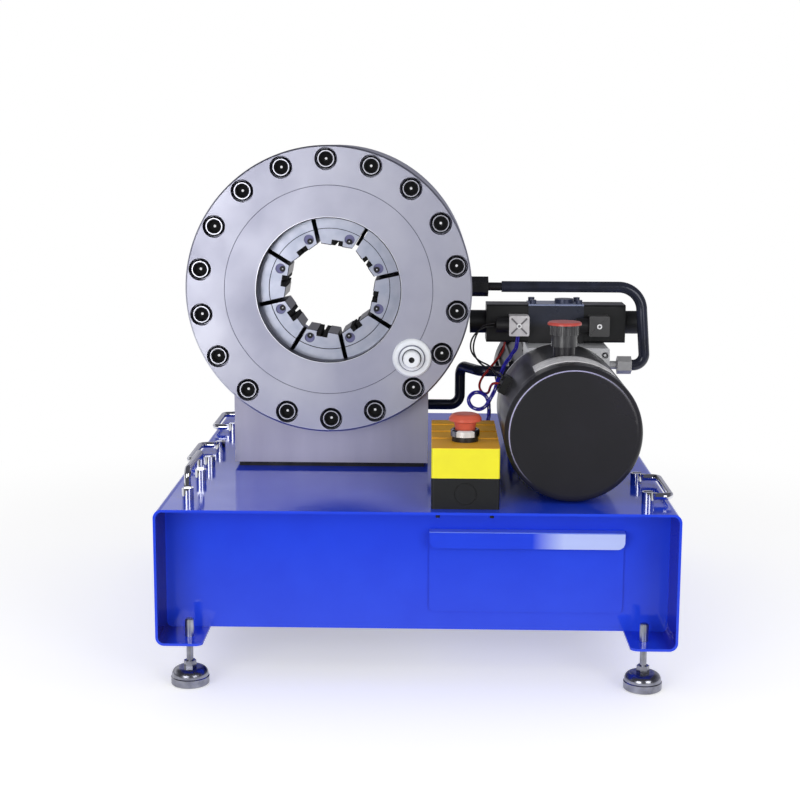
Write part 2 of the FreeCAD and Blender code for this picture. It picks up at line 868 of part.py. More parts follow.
def bail_shape(side, upright):
    """The bail in its own frame: the pivot axis is Y, from the first boss at 0."""
    out = Vector(0, 0, 1) if upright else Vector(side, 0, 0)
    far = Vector(0, float(S.boss_spacing), 0)
    start = float(S.boss_radius + 1.5)
    reach = float(S.bail_reach)
    wire = path_through([out * start, out * reach, far + out * reach, far + out * start],
                        [float(S.bail_bend)] * 2)
    bar = tube_shape(wire, float(S.bail_radius))
    solid = bar
    half = float(S.tongue_width) / 2
    for end in (Vector(), far):
        eye = Part.makeCylinder(float(S.bail_radius), 2 * half, end - Vector(0, half, 0), Vector(0, 1, 0))
        length = start + half
        if upright:
            tongue = Part.makeBox(2 * float(S.bail_radius), 2 * half, length)
            tongue.translate(end + Vector(-float(S.bail_radius), -half, 0))
        else:
            tongue = Part.makeBox(length, 2 * half, 2 * float(S.bail_radius))
            tongue.translate(end + Vector(0 if side > 0 else -length, -half, -float(S.bail_radius)))
        hole = Part.makeCylinder(float(S.pivot_pin_radius + S.pivot_play), 4 * half,
                                 end - Vector(0, 2 * half, 0), Vector(0, 1, 0))
        solid = solid.fuse(eye.fuse(tongue)).cut(hole)
    return solid.removeSplitter()


def handle_bails():
    for name, side, setback, upright in HANDLES:
        x, first = handle_place(side, setback)
        keep(put(shaped(name, bail_shape(side, upright)), (x, first, PIVOT_Z)))


# Control box: a black base screwed to the table, a yellow ribbed lid and the emergency stop button.
BOX_RIGHT = S.box_left + S.box_width
BOX_BACK = BOX_FRONT + S.box_depth
BOX_SEAM = TABLE_TOP + S.box_base_height
BOX_SCREWS = [(x, y) for x in (S.box_left + S.box_screw_inset, BOX_RIGHT - S.box_screw_inset)
              for y in (BOX_FRONT + S.box_screw_setback, BOX_BACK - S.box_screw_setback)]


def box_hollow():
    return rectangle((S.box_left + S.box_wall, BOX_RIGHT - S.box_wall),
                     (BOX_FRONT + S.box_wall, BOX_BACK - S.box_wall))


def control_box_base():
    case = new_body("base_case")
    extrude(case, "Pad", "box_block", "Z", (TABLE_TOP, BOX_SEAM),
            rectangle((S.box_left, BOX_RIGHT), (BOX_FRONT, BOX_BACK), S.box_corner))
    floor = TABLE_TOP + S.box_wall
    extrude(case, "Pocket", "box_inside", "Z", (floor, BOX_SEAM), box_hollow())
    middle = TABLE_TOP + S.box_base_height / 2
    extrude(case, "Pocket", "knockout_groove", "Y", (BOX_FRONT, BOX_FRONT + S.knockout_depth),
            circle(BUTTON_X, middle, S.knockout_radius),
            circle(BUTTON_X, middle, S.knockout_radius - S.knockout_line))
    extrude(case, "Pad", "cable_gland", "Y", (BOX_BACK, BOX_BACK + S.box_gland_length),
            circle(S.box_left + S.box_width * 0.75, middle, S.box_gland_radius))
    extrude(case, "Pocket", "base_screw_holes", "Z", (TABLE_TOP, floor),
            *[circle(x, y, S.box_screw_radius + S.fit_gap) for x, y in BOX_SCREWS])
    screws = []
    for number, (x, y) in enumerate(BOX_SCREWS):
        name = f"base_screw_{number}"
        shank = rod(name + "_shank", S.box_screw_radius, (x, y, TABLE_TOP - S.box_screw_tail),
                    S.box_screw_tail + S.box_wall, "Z")
        head = rod(name + "_head", S.box_screw_head, (x, y, floor), S.box_screw_head_height, "Z")
        nut = hexagon(name + "_nut", S.box_nut_flats, (x, y, SHEET_TOP_UNDERSIDE - S.box_nut_height),
                      S.box_nut_height, "Z")
        screws.append(merge(name, shank, head, nut))
    return keep(group("control_box_base", case, *screws))


def control_box_lid():
    """A flat lid with three narrow ribs across it, which stop short of the button's collar."""
    body = new_body("control_box_lid")
    extrude(body, "Pad", "lid_block", "Z", (BOX_SEAM, BOX_TOP),
            rectangle((S.box_left, BOX_RIGHT), (BOX_FRONT, BOX_BACK), S.box_corner))
    extrude(body, "Pocket", "lid_inside", "Z", (BOX_SEAM, BOX_TOP - S.box_wall), box_hollow())
    ribs = []
    for number in range(3):
        start = BOX_FRONT + S.lid_rib_start + number * S.lid_rib_pitch
        ribs.append(rectangle((S.box_left, BOX_RIGHT), (start, start + S.lid_rib_width)))
    top = BOX_TOP + S.lid_rib_rise
    extrude(body, "Pad", "lid_ribs", "Z", (BOX_TOP, top), *ribs)
    extrude(body, "Pocket", "collar_seat", "Z", (BOX_TOP, top),
            circle(BUTTON_X, BUTTON_Y, S.collar_radius + S.bolt_play))
    extrude(body, "Pocket", "button_hole", "Z", (BOX_SEAM, BOX_TOP),
            circle(BUTTON_X, BUTTON_Y, S.stem_radius + S.bolt_play))
    return keep(body)


def emergency_stop():
    """A stepped collar, a contact block under the lid, and a mushroom head on its stem."""
    bore = S.stem_radius + S.stem_play
    collar = turned("collar_turning", (BUTTON_X, BUTTON_Y, BOX_TOP), "Z", polygon(
        (bore, 0), (S.collar_foot_radius, 0), (S.collar_foot_radius, S.collar_foot_height),
        (S.collar_radius, S.collar_foot_height), (S.collar_radius, S.collar_height - S.collar_chamfer),
        (S.collar_radius - S.collar_chamfer, S.collar_height), (S.collar_bore, S.collar_height),
        (S.collar_bore, S.collar_floor), (bore, S.collar_floor)))
    under = BOX_TOP - S.box_wall
    low = under - S.box_lid_height / 2
    contact = cut("contact_block",
                  box("contact_case", (BUTTON_X - S.contact_half, BUTTON_X + S.contact_half),
                      (BUTTON_Y - S.contact_half, BUTTON_Y + S.contact_half), (low, under)),
                  rod("contact_bore", bore, (BUTTON_X, BUTTON_Y, low), S.box_lid_height, "Z"))
    keep(group("estop_collar", collar, contact))
    head_z = BOX_TOP + S.collar_height + S.button_lift
    socket_top = S.mushroom_height / 2
    keep(rod("estop_stem", S.stem_radius, (BUTTON_X, BUTTON_Y, head_z + socket_top - S.stem_length),
             S.stem_length, "Z"))
    socket = S.stem_radius + S.stud_play
    keep(turned("estop_head", (BUTTON_X, BUTTON_Y, head_z), "Z", polygon(
        (socket, -S.skirt_length), (S.skirt_tip_radius, -S.skirt_length), (S.skirt_radius, 0),
        (S.mushroom_radius, S.mushroom_brim), (S.mushroom_radius, S.mushroom_edge),
        (S.mushroom_radius - S.mushroom_slope, S.mushroom_height - 1),
        (S.mushroom_radius - 2 * S.mushroom_slope, S.mushroom_height), (0, S.mushroom_height),
        (0, socket_top), (socket, socket_top))))


# Crimping head: the ring housing is the cylinder of an annular piston, closed by a bolted cover.
def bolt_place(radius):
    return radius * cosine(S.bolt_start), radius * sine(S.bolt_start)


def ring_housing():
    body = turned("ring_housing", HEAD, "Y", polygon(
        (S.sleeve_bore, S.ring_length), (S.sleeve_bore, sleeve_front()), (S.sleeve_radius, sleeve_front()),
        (S.sleeve_radius, S.ring_length - S.end_wall), (S.cylinder_bore, S.ring_length - S.end_wall),
        (S.cylinder_bore, S.cover_thickness), (S.ring_radius, S.cover_thickness),
        (S.ring_radius, S.ring_length)))
    dress(body, "Chamfer", "rear_edge", S.ring_chamfer, (S.ring_radius, S.ring_length, 0))
    thread = S.bolt_length - S.cover_thickness + S.bolt_head_height + 4
    hole = extrude(body, "Pocket", "bolt_thread", "Y", (S.cover_thickness, S.cover_thickness + thread),
                   circle(*bolt_place(S.bolt_circle), S.bolt_radius + 0.1))
    around_axis(body, "bolt_threads", [hole], COVER_BOLTS)
    port = PORT_Y - HEAD[1]
    extrude(body, "Pocket", "pressure_port", "X", (S.bolt_circle, S.ring_radius),
            circle(port, 0, S.nipple_radius + S.bolt_play))
    return keep(body)


def sleeve_front():
    return S.insert_depth + S.die_face_gap + S.die_length + S.die_rear_gap


def front_cover():
    body = turned("front_cover", HEAD, "Y", polygon(
        (S.seam_radius, 0), (S.seam_radius, S.ledge_depth), (S.ledge_radius, S.ledge_depth),
        (S.ledge_radius, S.insert_depth), (S.cylinder_bore, S.insert_depth),
        (S.cylinder_bore, S.cover_thickness), (S.ring_radius, S.cover_thickness), (S.ring_radius, 0)))
    dress(body, "Chamfer", "front_edge", S.ring_chamfer, (S.ring_radius, 0, 0))
    place = bolt_place(S.bolt_circle)
    bore = extrude(body, "Pocket", "counterbore", "Y", (0, S.bolt_head_height + 1),
                   circle(*place, S.counterbore_radius))
    hole = extrude(body, "Pocket", "bolt_hole", "Y", (0, S.cover_thickness),
                   circle(*place, S.bolt_radius + S.bolt_play))
    around_axis(body, "bolt_holes", [bore, hole], COVER_BOLTS)
    extrude(body, "Pocket", "rod_hole", "Y", (0, S.cover_thickness),
            circle(S.dial_offset, -S.dial_drop, S.rod_radius + S.rod_play))
    return keep(body)


def cover_insert():
    body = turned("cover_insert", HEAD, "Y", polygon(
        (S.bore_radius, 0), (S.bore_radius, S.insert_depth),
        (S.ledge_radius - S.stem_play, S.insert_depth),
        (S.ledge_radius - S.stem_play, S.ledge_depth), (S.seam_radius - S.stem_play, S.ledge_depth),
        (S.seam_radius - S.stem_play, 0)))
    dress(body, "Chamfer", "mouth_edge", 1, (S.bore_radius, 0, 0))
    return keep(body)


def cover_bolts():
    """Socket-head screws: the blank lies on the head's axis height and its copies turn about it."""
    x, z = bolt_place(S.bolt_circle)
    head = turned("bolt_head", (x, 1, z), "Y", polygon(
        (0, 0), (0, S.bolt_head_height), (S.bolt_head_radius, S.bolt_head_height),
        (S.bolt_head_radius, 1.5), (S.bolt_head_radius - 1.5, 0)))
    shank = rod("bolt_shank", S.bolt_radius, (x, 1 + S.bolt_head_height, z), S.bolt_length, "Y")
    socket = hexagon("bolt_hexagon", S.bolt_socket, (x, 1, z), S.socket_depth, "Y")
    blank = cut("bolt_blank", merge("bolt_whole", head, shank), socket)
    step = 360 / COVER_BOLTS
    copies = [copy_of(f"bolt_{k + 1}", blank, rotation=Rotation(Vector(0, -1, 0), k * step))
              for k in range(COVER_BOLTS)]
    return keep(put(group("cover_bolts", *copies), HEAD))


def master_dies():
    """Eight sector dies. The blank lies along +X of the head's frame and is turned to each place."""
    slope = tangent(S.wedge_angle)
    front = S.insert_depth + S.die_face_gap
    rear = front + S.die_length
    front_reach = S.wedge_reach + (S.wedge_front - front) * slope
    rear_reach = S.wedge_reach - (rear - S.wedge_front) * slope
    half_sector = 180 / DIES
    body = new_body("die_block")
    wide = front_reach * tangent(half_sector) + 2
    extrude(body, "Pad", "die_side", "Z", (-wide, wide), polygon(
        (S.die_opening, front), (front_reach, front), (rear_reach, rear), (S.die_opening, rear)))

    def flank(reach):
        return reach * tangent(half_sector) - S.die_slit / (2 * cosine(half_sector))

    near, far = S.die_opening - S.clip_slot, front_reach + S.clip_slot
    beyond = 2 * wide
    for sense in (1, -1):
        edge = [(near, sense * flank(near)), (far, sense * flank(far)), (far, sense * beyond),
                (near, sense * beyond)]
        extrude(body, "Pocket", f"die_flank_{'upper' if sense > 0 else 'lower'}", "Y", (front, rear),
                polygon(*(edge if sense > 0 else edge[::-1])))
    extrude(body, "Pocket", "die_step", "Y", (front, front + S.step_depth), circle(0, 0, S.step_radius))
    slot_top = S.die_opening + S.clip_slot_depth
    extrude(body, "Pocket", "clip_slot", "Y", (front, rear),
            rectangle((near, slot_top), (-S.clip_slot / 2, S.clip_slot / 2)))
    floor = front + S.step_depth + S.lock_pocket_depth
    extrude(body, "Pocket", "lock_pocket", "Y", (front, floor),
            circle(S.lock_reach + S.lock_pocket_shift, -S.lock_offset, S.lock_pocket_radius))
    face = front + S.step_depth
    middle = (S.lock_reach, face, -S.lock_offset)
    lock = cut("lock_button", rod("lock_blank", S.lock_radius, middle, S.lock_pocket_depth, "Y"),
               hexagon("lock_socket", S.lock_radius, middle, S.lock_socket_depth, "Y"))
    thickness = (S.clip_slot - S.clip_gap) / 2
    clips = [box(name, (S.die_opening + S.clip_recess, slot_top), (front, rear), (low, low + thickness))
             for name, low in (("clip_upper", S.clip_gap / 2), ("clip_lower", -S.clip_slot / 2))]
    blank = group("die_blank", body, lock, *clips)
    for k in range(DIES):
        angle = SIZES["die_start"] + 360 / DIES * k
        keep(copy_of(f"master_die_{k + 1}", blank, HEAD, Rotation(Vector(0, -1, 0), angle)))


def octagon(reach, turn):
    corner = reach / cosine(180 / DIES)
    angles = [turn + 360 / DIES * (k + 0.5) for k in range(DIES)]
    return polygon(*[(corner * cosine(angle), corner * sine(angle)) for angle in angles])


def annular_piston():
    """The piston rides on the sleeve; its skirt has an eight-sided tapered bore that squeezes the dies."""
    inner = S.sleeve_radius + S.crown_play
    outer = S.cylinder_bore - S.crown_play
    groove_low = (S.crown_front + S.crown_rear - S.seal_width) / 2
    groove_high = groove_low + S.seal_width
    body = turned("annular_piston", HEAD, "Y", polygon(
        (inner, S.wedge_front), (inner, groove_low), (inner + S.seal_depth, groove_low),
        (inner + S.seal_depth, groove_high), (inner, groove_high), (inner, S.crown_rear),
        (outer, S.crown_rear), (outer, groove_high), (outer - S.seal_depth, groove_high),
        (outer - S.seal_depth, groove_low), (outer, groove_low), (outer, S.crown_front),
        (S.skirt_outer, S.crown_front), (S.skirt_outer, S.wedge_front)))
    reach = S.wedge_reach + S.wedge_gap
    depth = (reach - inner) / tangent(S.wedge_angle)
    front = sketch_on(body, "wedge_mouth", "Y", S.wedge_front, octagon(reach, SIZES["die_start"]))
    back = sketch_on(body, "wedge_end", "Y", S.wedge_front + depth, octagon(inner, SIZES["die_start"]))
    taper = body.newObject("PartDesign::SubtractiveLoft", "wedge_bore")
    taper.Profile = front
    taper.Sections = [back]
    taper.Ruled = True
    keep(body)
    seals = []
    for name, low, high in (("bore_seal", outer - S.seal_depth, outer),
                            ("sleeve_seal", inner, inner + S.seal_depth)):
        seals.append(turned(name, HEAD, "Y", polygon(
            (low, groove_low), (high, groove_low), (high, groove_high), (low, groove_high))))
    keep(group("piston_seals", *seals))


# Closing dial: a bezel on the ring face, a turning thimble, and the stop rod it moves.
def dial():
    at = (HEAD[0] + S.dial_offset, HEAD[1], HEAD[2] - S.dial_drop)
    keep(turned("dial_bezel", at, "Y", polygon(
        (S.rod_radius + 0.2, -S.bezel_height + 1), (S.rod_radius + 0.2, 0), (S.bezel_radius, 0),
        (S.bezel_radius, -S.bezel_height + 2), (S.bezel_radius - 2, -S.bezel_height),
        (S.dial_flange_radius + 1, -S.bezel_height), (S.dial_flange_radius + 1, -S.bezel_height + 1))))
    back = -S.bezel_height + 1 - S.fit_gap
    step = back - S.dial_flange_height
    tip = step - S.dial_knob_height
    keep(turned("dial_thimble", at, "Y", polygon(
        (0, tip + 5), (S.dial_hole_radius, tip + 5), (S.dial_hole_radius, tip),
        (S.dial_knob_radius - 1.5, tip), (S.dial_knob_radius, tip + 1.5), (S.dial_knob_radius, step),
        (S.dial_flange_radius - 1, step), (S.dial_flange_radius, step + 1), (S.dial_flange_radius, back),
        (S.spindle_radius, back), (S.spindle_radius, S.spindle_tip), (0, S.spindle_tip))))
    end = S.rod_start + S.rod_length
    keep(turned("stop_rod", at, "Y", polygon(
        (S.rod_bore, S.rod_start), (S.rod_bore, end - S.rod_wall_end), (0, end - S.rod_wall_end),
        (0, end), (S.rod_radius, end), (S.rod_radius, S.rod_start))))


# Pedestal: a steel block with a saddle for the ring housing, on a thinner inset plate.
def pedestal():
    left = HEAD[0] - S.pedestal_width / 2
    right = HEAD[0] + S.pedestal_width / 2
    front = FRONT + S.pedestal_setback
    back = front + S.pedestal_depth
    floor = TABLE_TOP + S.plate_height
    block = box("pedestal_block", (left, right), (front, back), (floor, floor + S.pedestal_height))
    saddle = rod("saddle", S.ring_radius + 0.1, (HEAD[0], front - 5, HEAD[2]), S.pedestal_depth + 10, "Y")
    keep(cut("head_pedestal", block, saddle))
    inset = S.plate_inset
    keep(box("pedestal_plate", (left + inset, right - inset), (front + inset, back - inset),
             (TABLE_TOP, floor)))


# Power unit: the oil tank in front, the manifold block, the valve on it, and the motor behind.
def oil_tank():
    body = turned("oil_tank", UNIT, "Y", polygon(
        (0, 0), (0, S.tank_face), (S.tank_radius - S.tank_wall, S.tank_face),
        (S.tank_radius - S.tank_wall, S.tank_length), (S.tank_radius, S.tank_length), (S.tank_radius, 0)))
    dress(body, "Fillet", "tank_rim", S.tank_rim, (S.tank_radius, 0, 0))
    extrude(body, "Pocket", "filler_hole", "Z", (0, S.tank_radius),
            circle(-S.cap_offset, S.cap_setback, S.neck_outer))
    return keep(body)


def filler():
    """A neck on the tank, and a stepped cap with a grooved grip and a red disc on it."""
    at = (UNIT[0] - S.cap_offset, UNIT[1] + S.cap_setback, UNIT[2] + S.tank_radius)
    root = -S.tank_wall * 2
    keep(turned("filler_neck", at, "Z", polygon(
        (S.neck_bore, root), (S.neck_outer, root), (S.neck_outer, S.neck_rise), (S.neck_bore, S.neck_rise))))
    step = S.cap_lift + S.cap_foot_height
    high = S.cap_lift + S.cap_height
    bore = S.neck_outer + S.stud_play
    roof = S.neck_rise + S.fit_gap
    cap = turned("cap_body", at, "Z", polygon(
        (bore, S.cap_lift), (S.cap_foot_radius, S.cap_lift), (S.cap_foot_radius, step), (S.cap_radius, step),
        (S.cap_radius, high), (0, high), (0, roof), (bore, roof)))
    groove = extrude(cap, "Pocket", "cap_groove", "Y", (step, high - S.cap_groove_radius),
                     circle(S.cap_radius + S.fit_gap, 0, S.cap_groove_radius))
    around_axis(cap, "cap_grip", [groove], SIZES["cap_grooves"])
    top = high + S.cap_top_height
    disc = turned("cap_disc", at, "Z", polygon(
        (0, high), (S.cap_top_radius, high), (S.cap_top_radius, top - S.cap_top_chamfer),
        (S.cap_top_radius - S.cap_top_chamfer, top), (0, top)))
    keep(group("filler_cap", cap, disc))


def manifold():
    low = TABLE_TOP + S.block_rise
    body = new_body("manifold_block")
    extrude(body, "Pad", "block", "Y", (TANK_REAR, BLOCK_REAR),
            rectangle((BLOCK_LEFT, BLOCK_RIGHT), (low, BLOCK_TOP), S.box_corner))
    flange = S.tank_radius - S.tank_wall - S.fit_gap
    lip = TANK_REAR + S.flange_lip
    extrude(body, "Pad", "tank_spigot", "Y", (SPIGOT_FRONT, TANK_REAR), circle(UNIT[0], UNIT[2], flange))
    extrude(body, "Pad", "tank_flange", "Y", (TANK_REAR, lip), circle(UNIT[0], UNIT[2], S.tank_radius))
    extrude(body, "Pocket", "coupling_bore", "Y", (lip, BLOCK_REAR),
            circle(UNIT[0], UNIT[2], S.coupling_radius))
    extrude(body, "Pocket", "side_port", "X", (BLOCK_RIGHT - S.port_depth, BLOCK_RIGHT),
            circle(PORT_Y, PORT_Z, S.nipple_radius + S.bolt_play))
    plug_x, plug_z = BLOCK_RIGHT - S.block_plug_inset, BLOCK_TOP - S.block_plug_drop
    extrude(body, "Pocket", "front_plug", "Y", (TANK_REAR, TANK_REAR + S.port_depth / 4),
            circle(plug_x, plug_z, S.block_plug_radius),
            circle(plug_x, plug_z, S.block_plug_radius - S.knockout_line))
    return keep(body)


SPIGOT_FRONT = TANK_REAR - S.spigot_length
VALVE_Y = (TANK_REAR + BLOCK_REAR) / 2 + S.valve_shift
PLUG_Z = BLOCK_TOP + S.valve_height - S.plug_drop - S.plug_size / 2
PORT_Y = FRONT + S.port_setback
PORT_Z = HEAD[2] - S.port_drop


def valve():
    """A directional valve with its cover screws and cap, a coil on each side, and a plug on each coil."""
    front = VALVE_Y - S.valve_depth / 2
    back = VALVE_Y + S.valve_depth / 2
    top = BLOCK_TOP + S.valve_height
    left, right = VALVE_LEFT, VALVE_LEFT + S.valve_width
    case = new_body("valve_case")
    extrude(case, "Pad", "valve_block", "X", (left, right), rectangle((front, back), (BLOCK_TOP, top)))
    dress(case, "Chamfer", "valve_edges", S.valve_chamfer, *[(UNIT[0], y, top) for y in (front, back)])
    inset = S.valve_screw_inset
    parts = [rod(f"valve_screw_{number}", S.valve_screw_radius, (x, y, top), S.valve_screw_height, "Z")
             for number, (x, y) in enumerate((x, y) for x in (left + inset, right - inset)
                                             for y in (front + inset, back - inset))]
    parts.append(rod("valve_cap", S.valve_cap_radius, ((left + right) / 2 + S.valve_cap_shift, VALVE_Y, top),
                     S.valve_cap_height, "Z"))
    keep(group("valve_body", case, *parts))
    level = BLOCK_TOP + S.valve_height / 2
    coils = []
    spans = (("left_coil", (left - S.coil_length, left), -1, S.coil_end_left),
             ("right_coil", (right, right + S.coil_length), 1, S.coil_end_right))
    for name, span, side, end in spans:
        body = new_body(name)
        extrude(body, "Pad", name + "_case", "X", span,
                rectangle((front + 1, back - 1), (BLOCK_TOP + 1, top - 1), S.box_corner))
        tip = (span[1], span[1] + end) if side > 0 else (span[0] - end, span[0])
        extrude(body, "Pad", name + "_end", "X", tip, circle(VALVE_Y, level, S.coil_end_radius))
        coils.append(body)
    keep(group("valve_coils", *coils))
    face = front + 1 - S.plug_depth
    plugs = []
    for name, start in (("left_plug", left - S.plug_size), ("right_plug", right + S.valve_gap)):
        body = new_body(name)
        extrude(body, "Pad", name + "_case", "Y", (face, front + 1),
                rectangle((start, start + S.plug_size), (PLUG_Z - S.plug_size / 2, PLUG_Z + S.plug_size / 2),
                          S.plug_corner))
        extrude(body, "Pad", name + "_gland", "X", (start - S.gland_length, start),
                circle(face + S.plug_depth / 2, PLUG_Z, S.gland_radius))
        plug_x = start + S.plug_size / 2
        ribs = [put(box(f"{name}_rib_{turn}", (0, 2 * S.plug_rib_reach), (0, S.plug_rib_rise),
                        (0, S.plug_rib_width)),
                    (plug_x - S.plug_rib_reach * cosine(turn) + S.plug_rib_width / 2 * sine(turn),
                     face - S.plug_rib_rise,
                     PLUG_Z - S.plug_rib_reach * sine(turn) - S.plug_rib_width / 2 * cosine(turn)),
                    Rotation(Vector(0, -1, 0), turn)) for turn in (45, -45)]
        screw = rod(name + "_screw", S.plug_screw_radius, (plug_x, face - S.plug_screw_rise, PLUG_Z),
                    S.plug_screw_rise, "Y")
        plugs.append(merge(name + "_whole", body, *ribs, screw))
    keep(group("coil_plugs", *plugs))


def motor():
    """A finned motor; the rotor runs in it and carries the fan under the cowl."""
    at = (UNIT[0], BLOCK_REAR, UNIT[2])
    body = turned("motor_body", at, "Y", polygon(
        (S.shaft_radius + S.shaft_play, 0), (S.shaft_radius + S.shaft_play, S.motor_end),
        (S.motor_bore, S.motor_end), (S.motor_bore, S.motor_length - S.motor_end),
        (S.shaft_radius + S.shaft_play, S.motor_length - S.motor_end),
        (S.shaft_radius + S.shaft_play, S.motor_length), (S.motor_radius, S.motor_length),
        (S.motor_radius, 0)))
    fin = extrude(body, "Pad", "motor_fin", "Y", (S.motor_end, S.motor_length - S.motor_end),
                  rectangle((S.motor_radius - 2, S.motor_radius + S.motor_fin),
                            (-S.motor_fin_width / 2, S.motor_fin_width / 2)))
    around_axis(body, "motor_fins", [fin], 20)
    keep(body)
    core_low = S.motor_end + S.rotor_play
    core_high = S.motor_length - S.motor_end - S.rotor_play
    core = S.motor_bore - S.rotor_play
    fan_low = S.motor_length + 10
    fan_high = fan_low + S.fan_width
    shaft = turned("rotor_shaft", at, "Y", polygon(
        (0, -50), (S.shaft_radius, -50), (S.shaft_radius, core_low), (core, core_low), (core, core_high),
        (S.shaft_radius, core_high), (S.shaft_radius, fan_low), (S.fan_hub, fan_low), (S.fan_hub, fan_high),
        (0, fan_high)))
    blade = extrude(shaft, "Pad", "fan_blade", "Y", (fan_low, fan_high),
                    rectangle((S.fan_hub - 2, S.fan_radius), (-1.5, 1.5)))
    around_axis(shaft, "fan_blades", [blade], 8)
    shaft.Label = "motor_rotor"
    keep(shaft)
    rim = S.motor_radius + S.motor_fin
    cowl = turned("fan_cowl", (UNIT[0], MOTOR_REAR, UNIT[2]), "Y", polygon(
        (S.motor_radius, 0), (rim, 0), (rim, S.cowl_length - 6), (rim - 6, S.cowl_length),
        (0, S.cowl_length), (0, S.cowl_length - S.cowl_wall), (rim - 6, S.cowl_length - S.cowl_wall),
        (rim - S.cowl_wall, S.cowl_length - 8), (rim - S.cowl_wall, 4), (S.motor_radius, 4)))
    slots = [rectangle((reach, reach + 10), (-4, 4)) for reach in (16, 32, 48)]
    vent = extrude(cowl, "Pocket", "air_slot", "Y", (S.cowl_length - 4, S.cowl_length), *slots)
    around_axis(cowl, "air_slots", [vent], 8)
    keep(cowl)


def unit_brackets():
    low, high = TABLE_TOP, TABLE_TOP + S.block_rise
    inset = S.spigot_length
    foot = box("block_foot", (BLOCK_LEFT, BLOCK_RIGHT), (TANK_REAR + inset, BLOCK_REAR - inset),
               (low, high))
    rim = S.motor_radius + S.motor_fin
    middle = BLOCK_REAR + S.motor_length / 2
    cradle = box("cradle_block", (UNIT[0] - S.cradle_half, UNIT[0] + S.cradle_half),
                 (middle - S.cradle_length / 2, middle + S.cradle_length / 2),
                 (low, UNIT[2] - S.cradle_drop))
    saddle = rod("cradle_saddle", rim + S.stem_play, (UNIT[0], BLOCK_REAR, UNIT[2]), S.motor_length, "Y")
    return keep(group("unit_brackets", foot, cut("motor_cradle", cradle, saddle)))


def gear_pump():
    """The pump hangs on the manifold spigot inside the tank, with its suction pipe down to the oil."""
    start = SPIGOT_FRONT - S.pump_length
    case = rod("pump_case", S.pump_radius, (UNIT[0], start, UNIT[2]), S.pump_length, "Y")
    pipe = rod("suction_pipe", S.suction_radius,
               (UNIT[0], start + S.suction_setback, UNIT[2] - S.suction_drop),
               S.suction_drop - S.pump_radius / 2, "Z")
    return keep(merge("gear_pump", case, pipe))


TERMINAL_ANGLE = 152


def terminal_block():
    """A black two-pole block on the tank's shoulder, with two brass screws."""
    top = S.tank_radius + S.terminal_height
    start, end = S.terminal_setback - S.terminal_length / 2, S.terminal_setback + S.terminal_length / 2
    case = cut("terminal_case", box("terminal_blank", (S.tank_radius - S.tank_wall, top), (start, end),
                                    (-S.terminal_width / 2, S.terminal_width / 2)),
               rod("terminal_seat", S.tank_radius + S.crown_play, (0, 0, 0), S.tank_length, "Y"))
    screws = [rod(f"terminal_screw_{sense}", S.terminal_screw_radius,
                  (top, S.terminal_setback, sense * S.terminal_screw_pitch / 2), S.terminal_screw_rise, "X")
              for sense in (-1, 1)]
    turn = Rotation(Vector(0, -1, 0), TERMINAL_ANGLE)
    return keep(put(group("terminal_block", case, *screws), UNIT, turn))


# Oil tubes: bent steel tubes between the head and the manifold, with hexagon nuts at their ends.
def vector(x, y, z):
    return Vector(float(x), float(y), float(z))


RING_SIDE = HEAD[0] + S.ring_radius
RETURN_Y = FRONT + S.return_setback
RETURN_END_Y = FRONT + S.return_end_setback
RETURN_Z = TABLE_TOP + S.return_rise
RETURN_TOP_Z = TABLE_TOP + S.return_top


def tubes():
    start = RING_SIDE + S.nut_length + S.nipple_length + S.nut_overlap
    end = BLOCK_RIGHT + S.block_nut_start + S.block_nut_length
    level = HEAD[2]
    wire = path_through(
        [vector(start, PORT_Y, level), vector(UNIT[0] + S.tube_top_right, PORT_Y, level),
         vector(UNIT[0] + S.tube_low_right, PORT_Y, PORT_Z), vector(end, PORT_Y, PORT_Z)],
        [float(S.tube_bend), float(S.elbow_bend)])
    keep(shaped("pressure_tube", tube_shape(wire, float(S.tube_radius))))
    turn_x = S.return_turn_x
    back_end = BLOCK_LEFT - S.nut_length
    wire = path_through(
        [vector(S.banjo_x + S.banjo_radius, RETURN_Y, RETURN_Z), vector(turn_x, RETURN_Y, RETURN_Z),
         vector(turn_x, RETURN_Y, RETURN_TOP_Z), vector(turn_x + 26, RETURN_END_Y, RETURN_TOP_Z),
         vector(back_end, RETURN_END_Y, RETURN_TOP_Z)],
        [float(S.elbow_bend)] * 3)
    keep(shaped("return_tube", tube_shape(wire, float(S.tube_radius))))


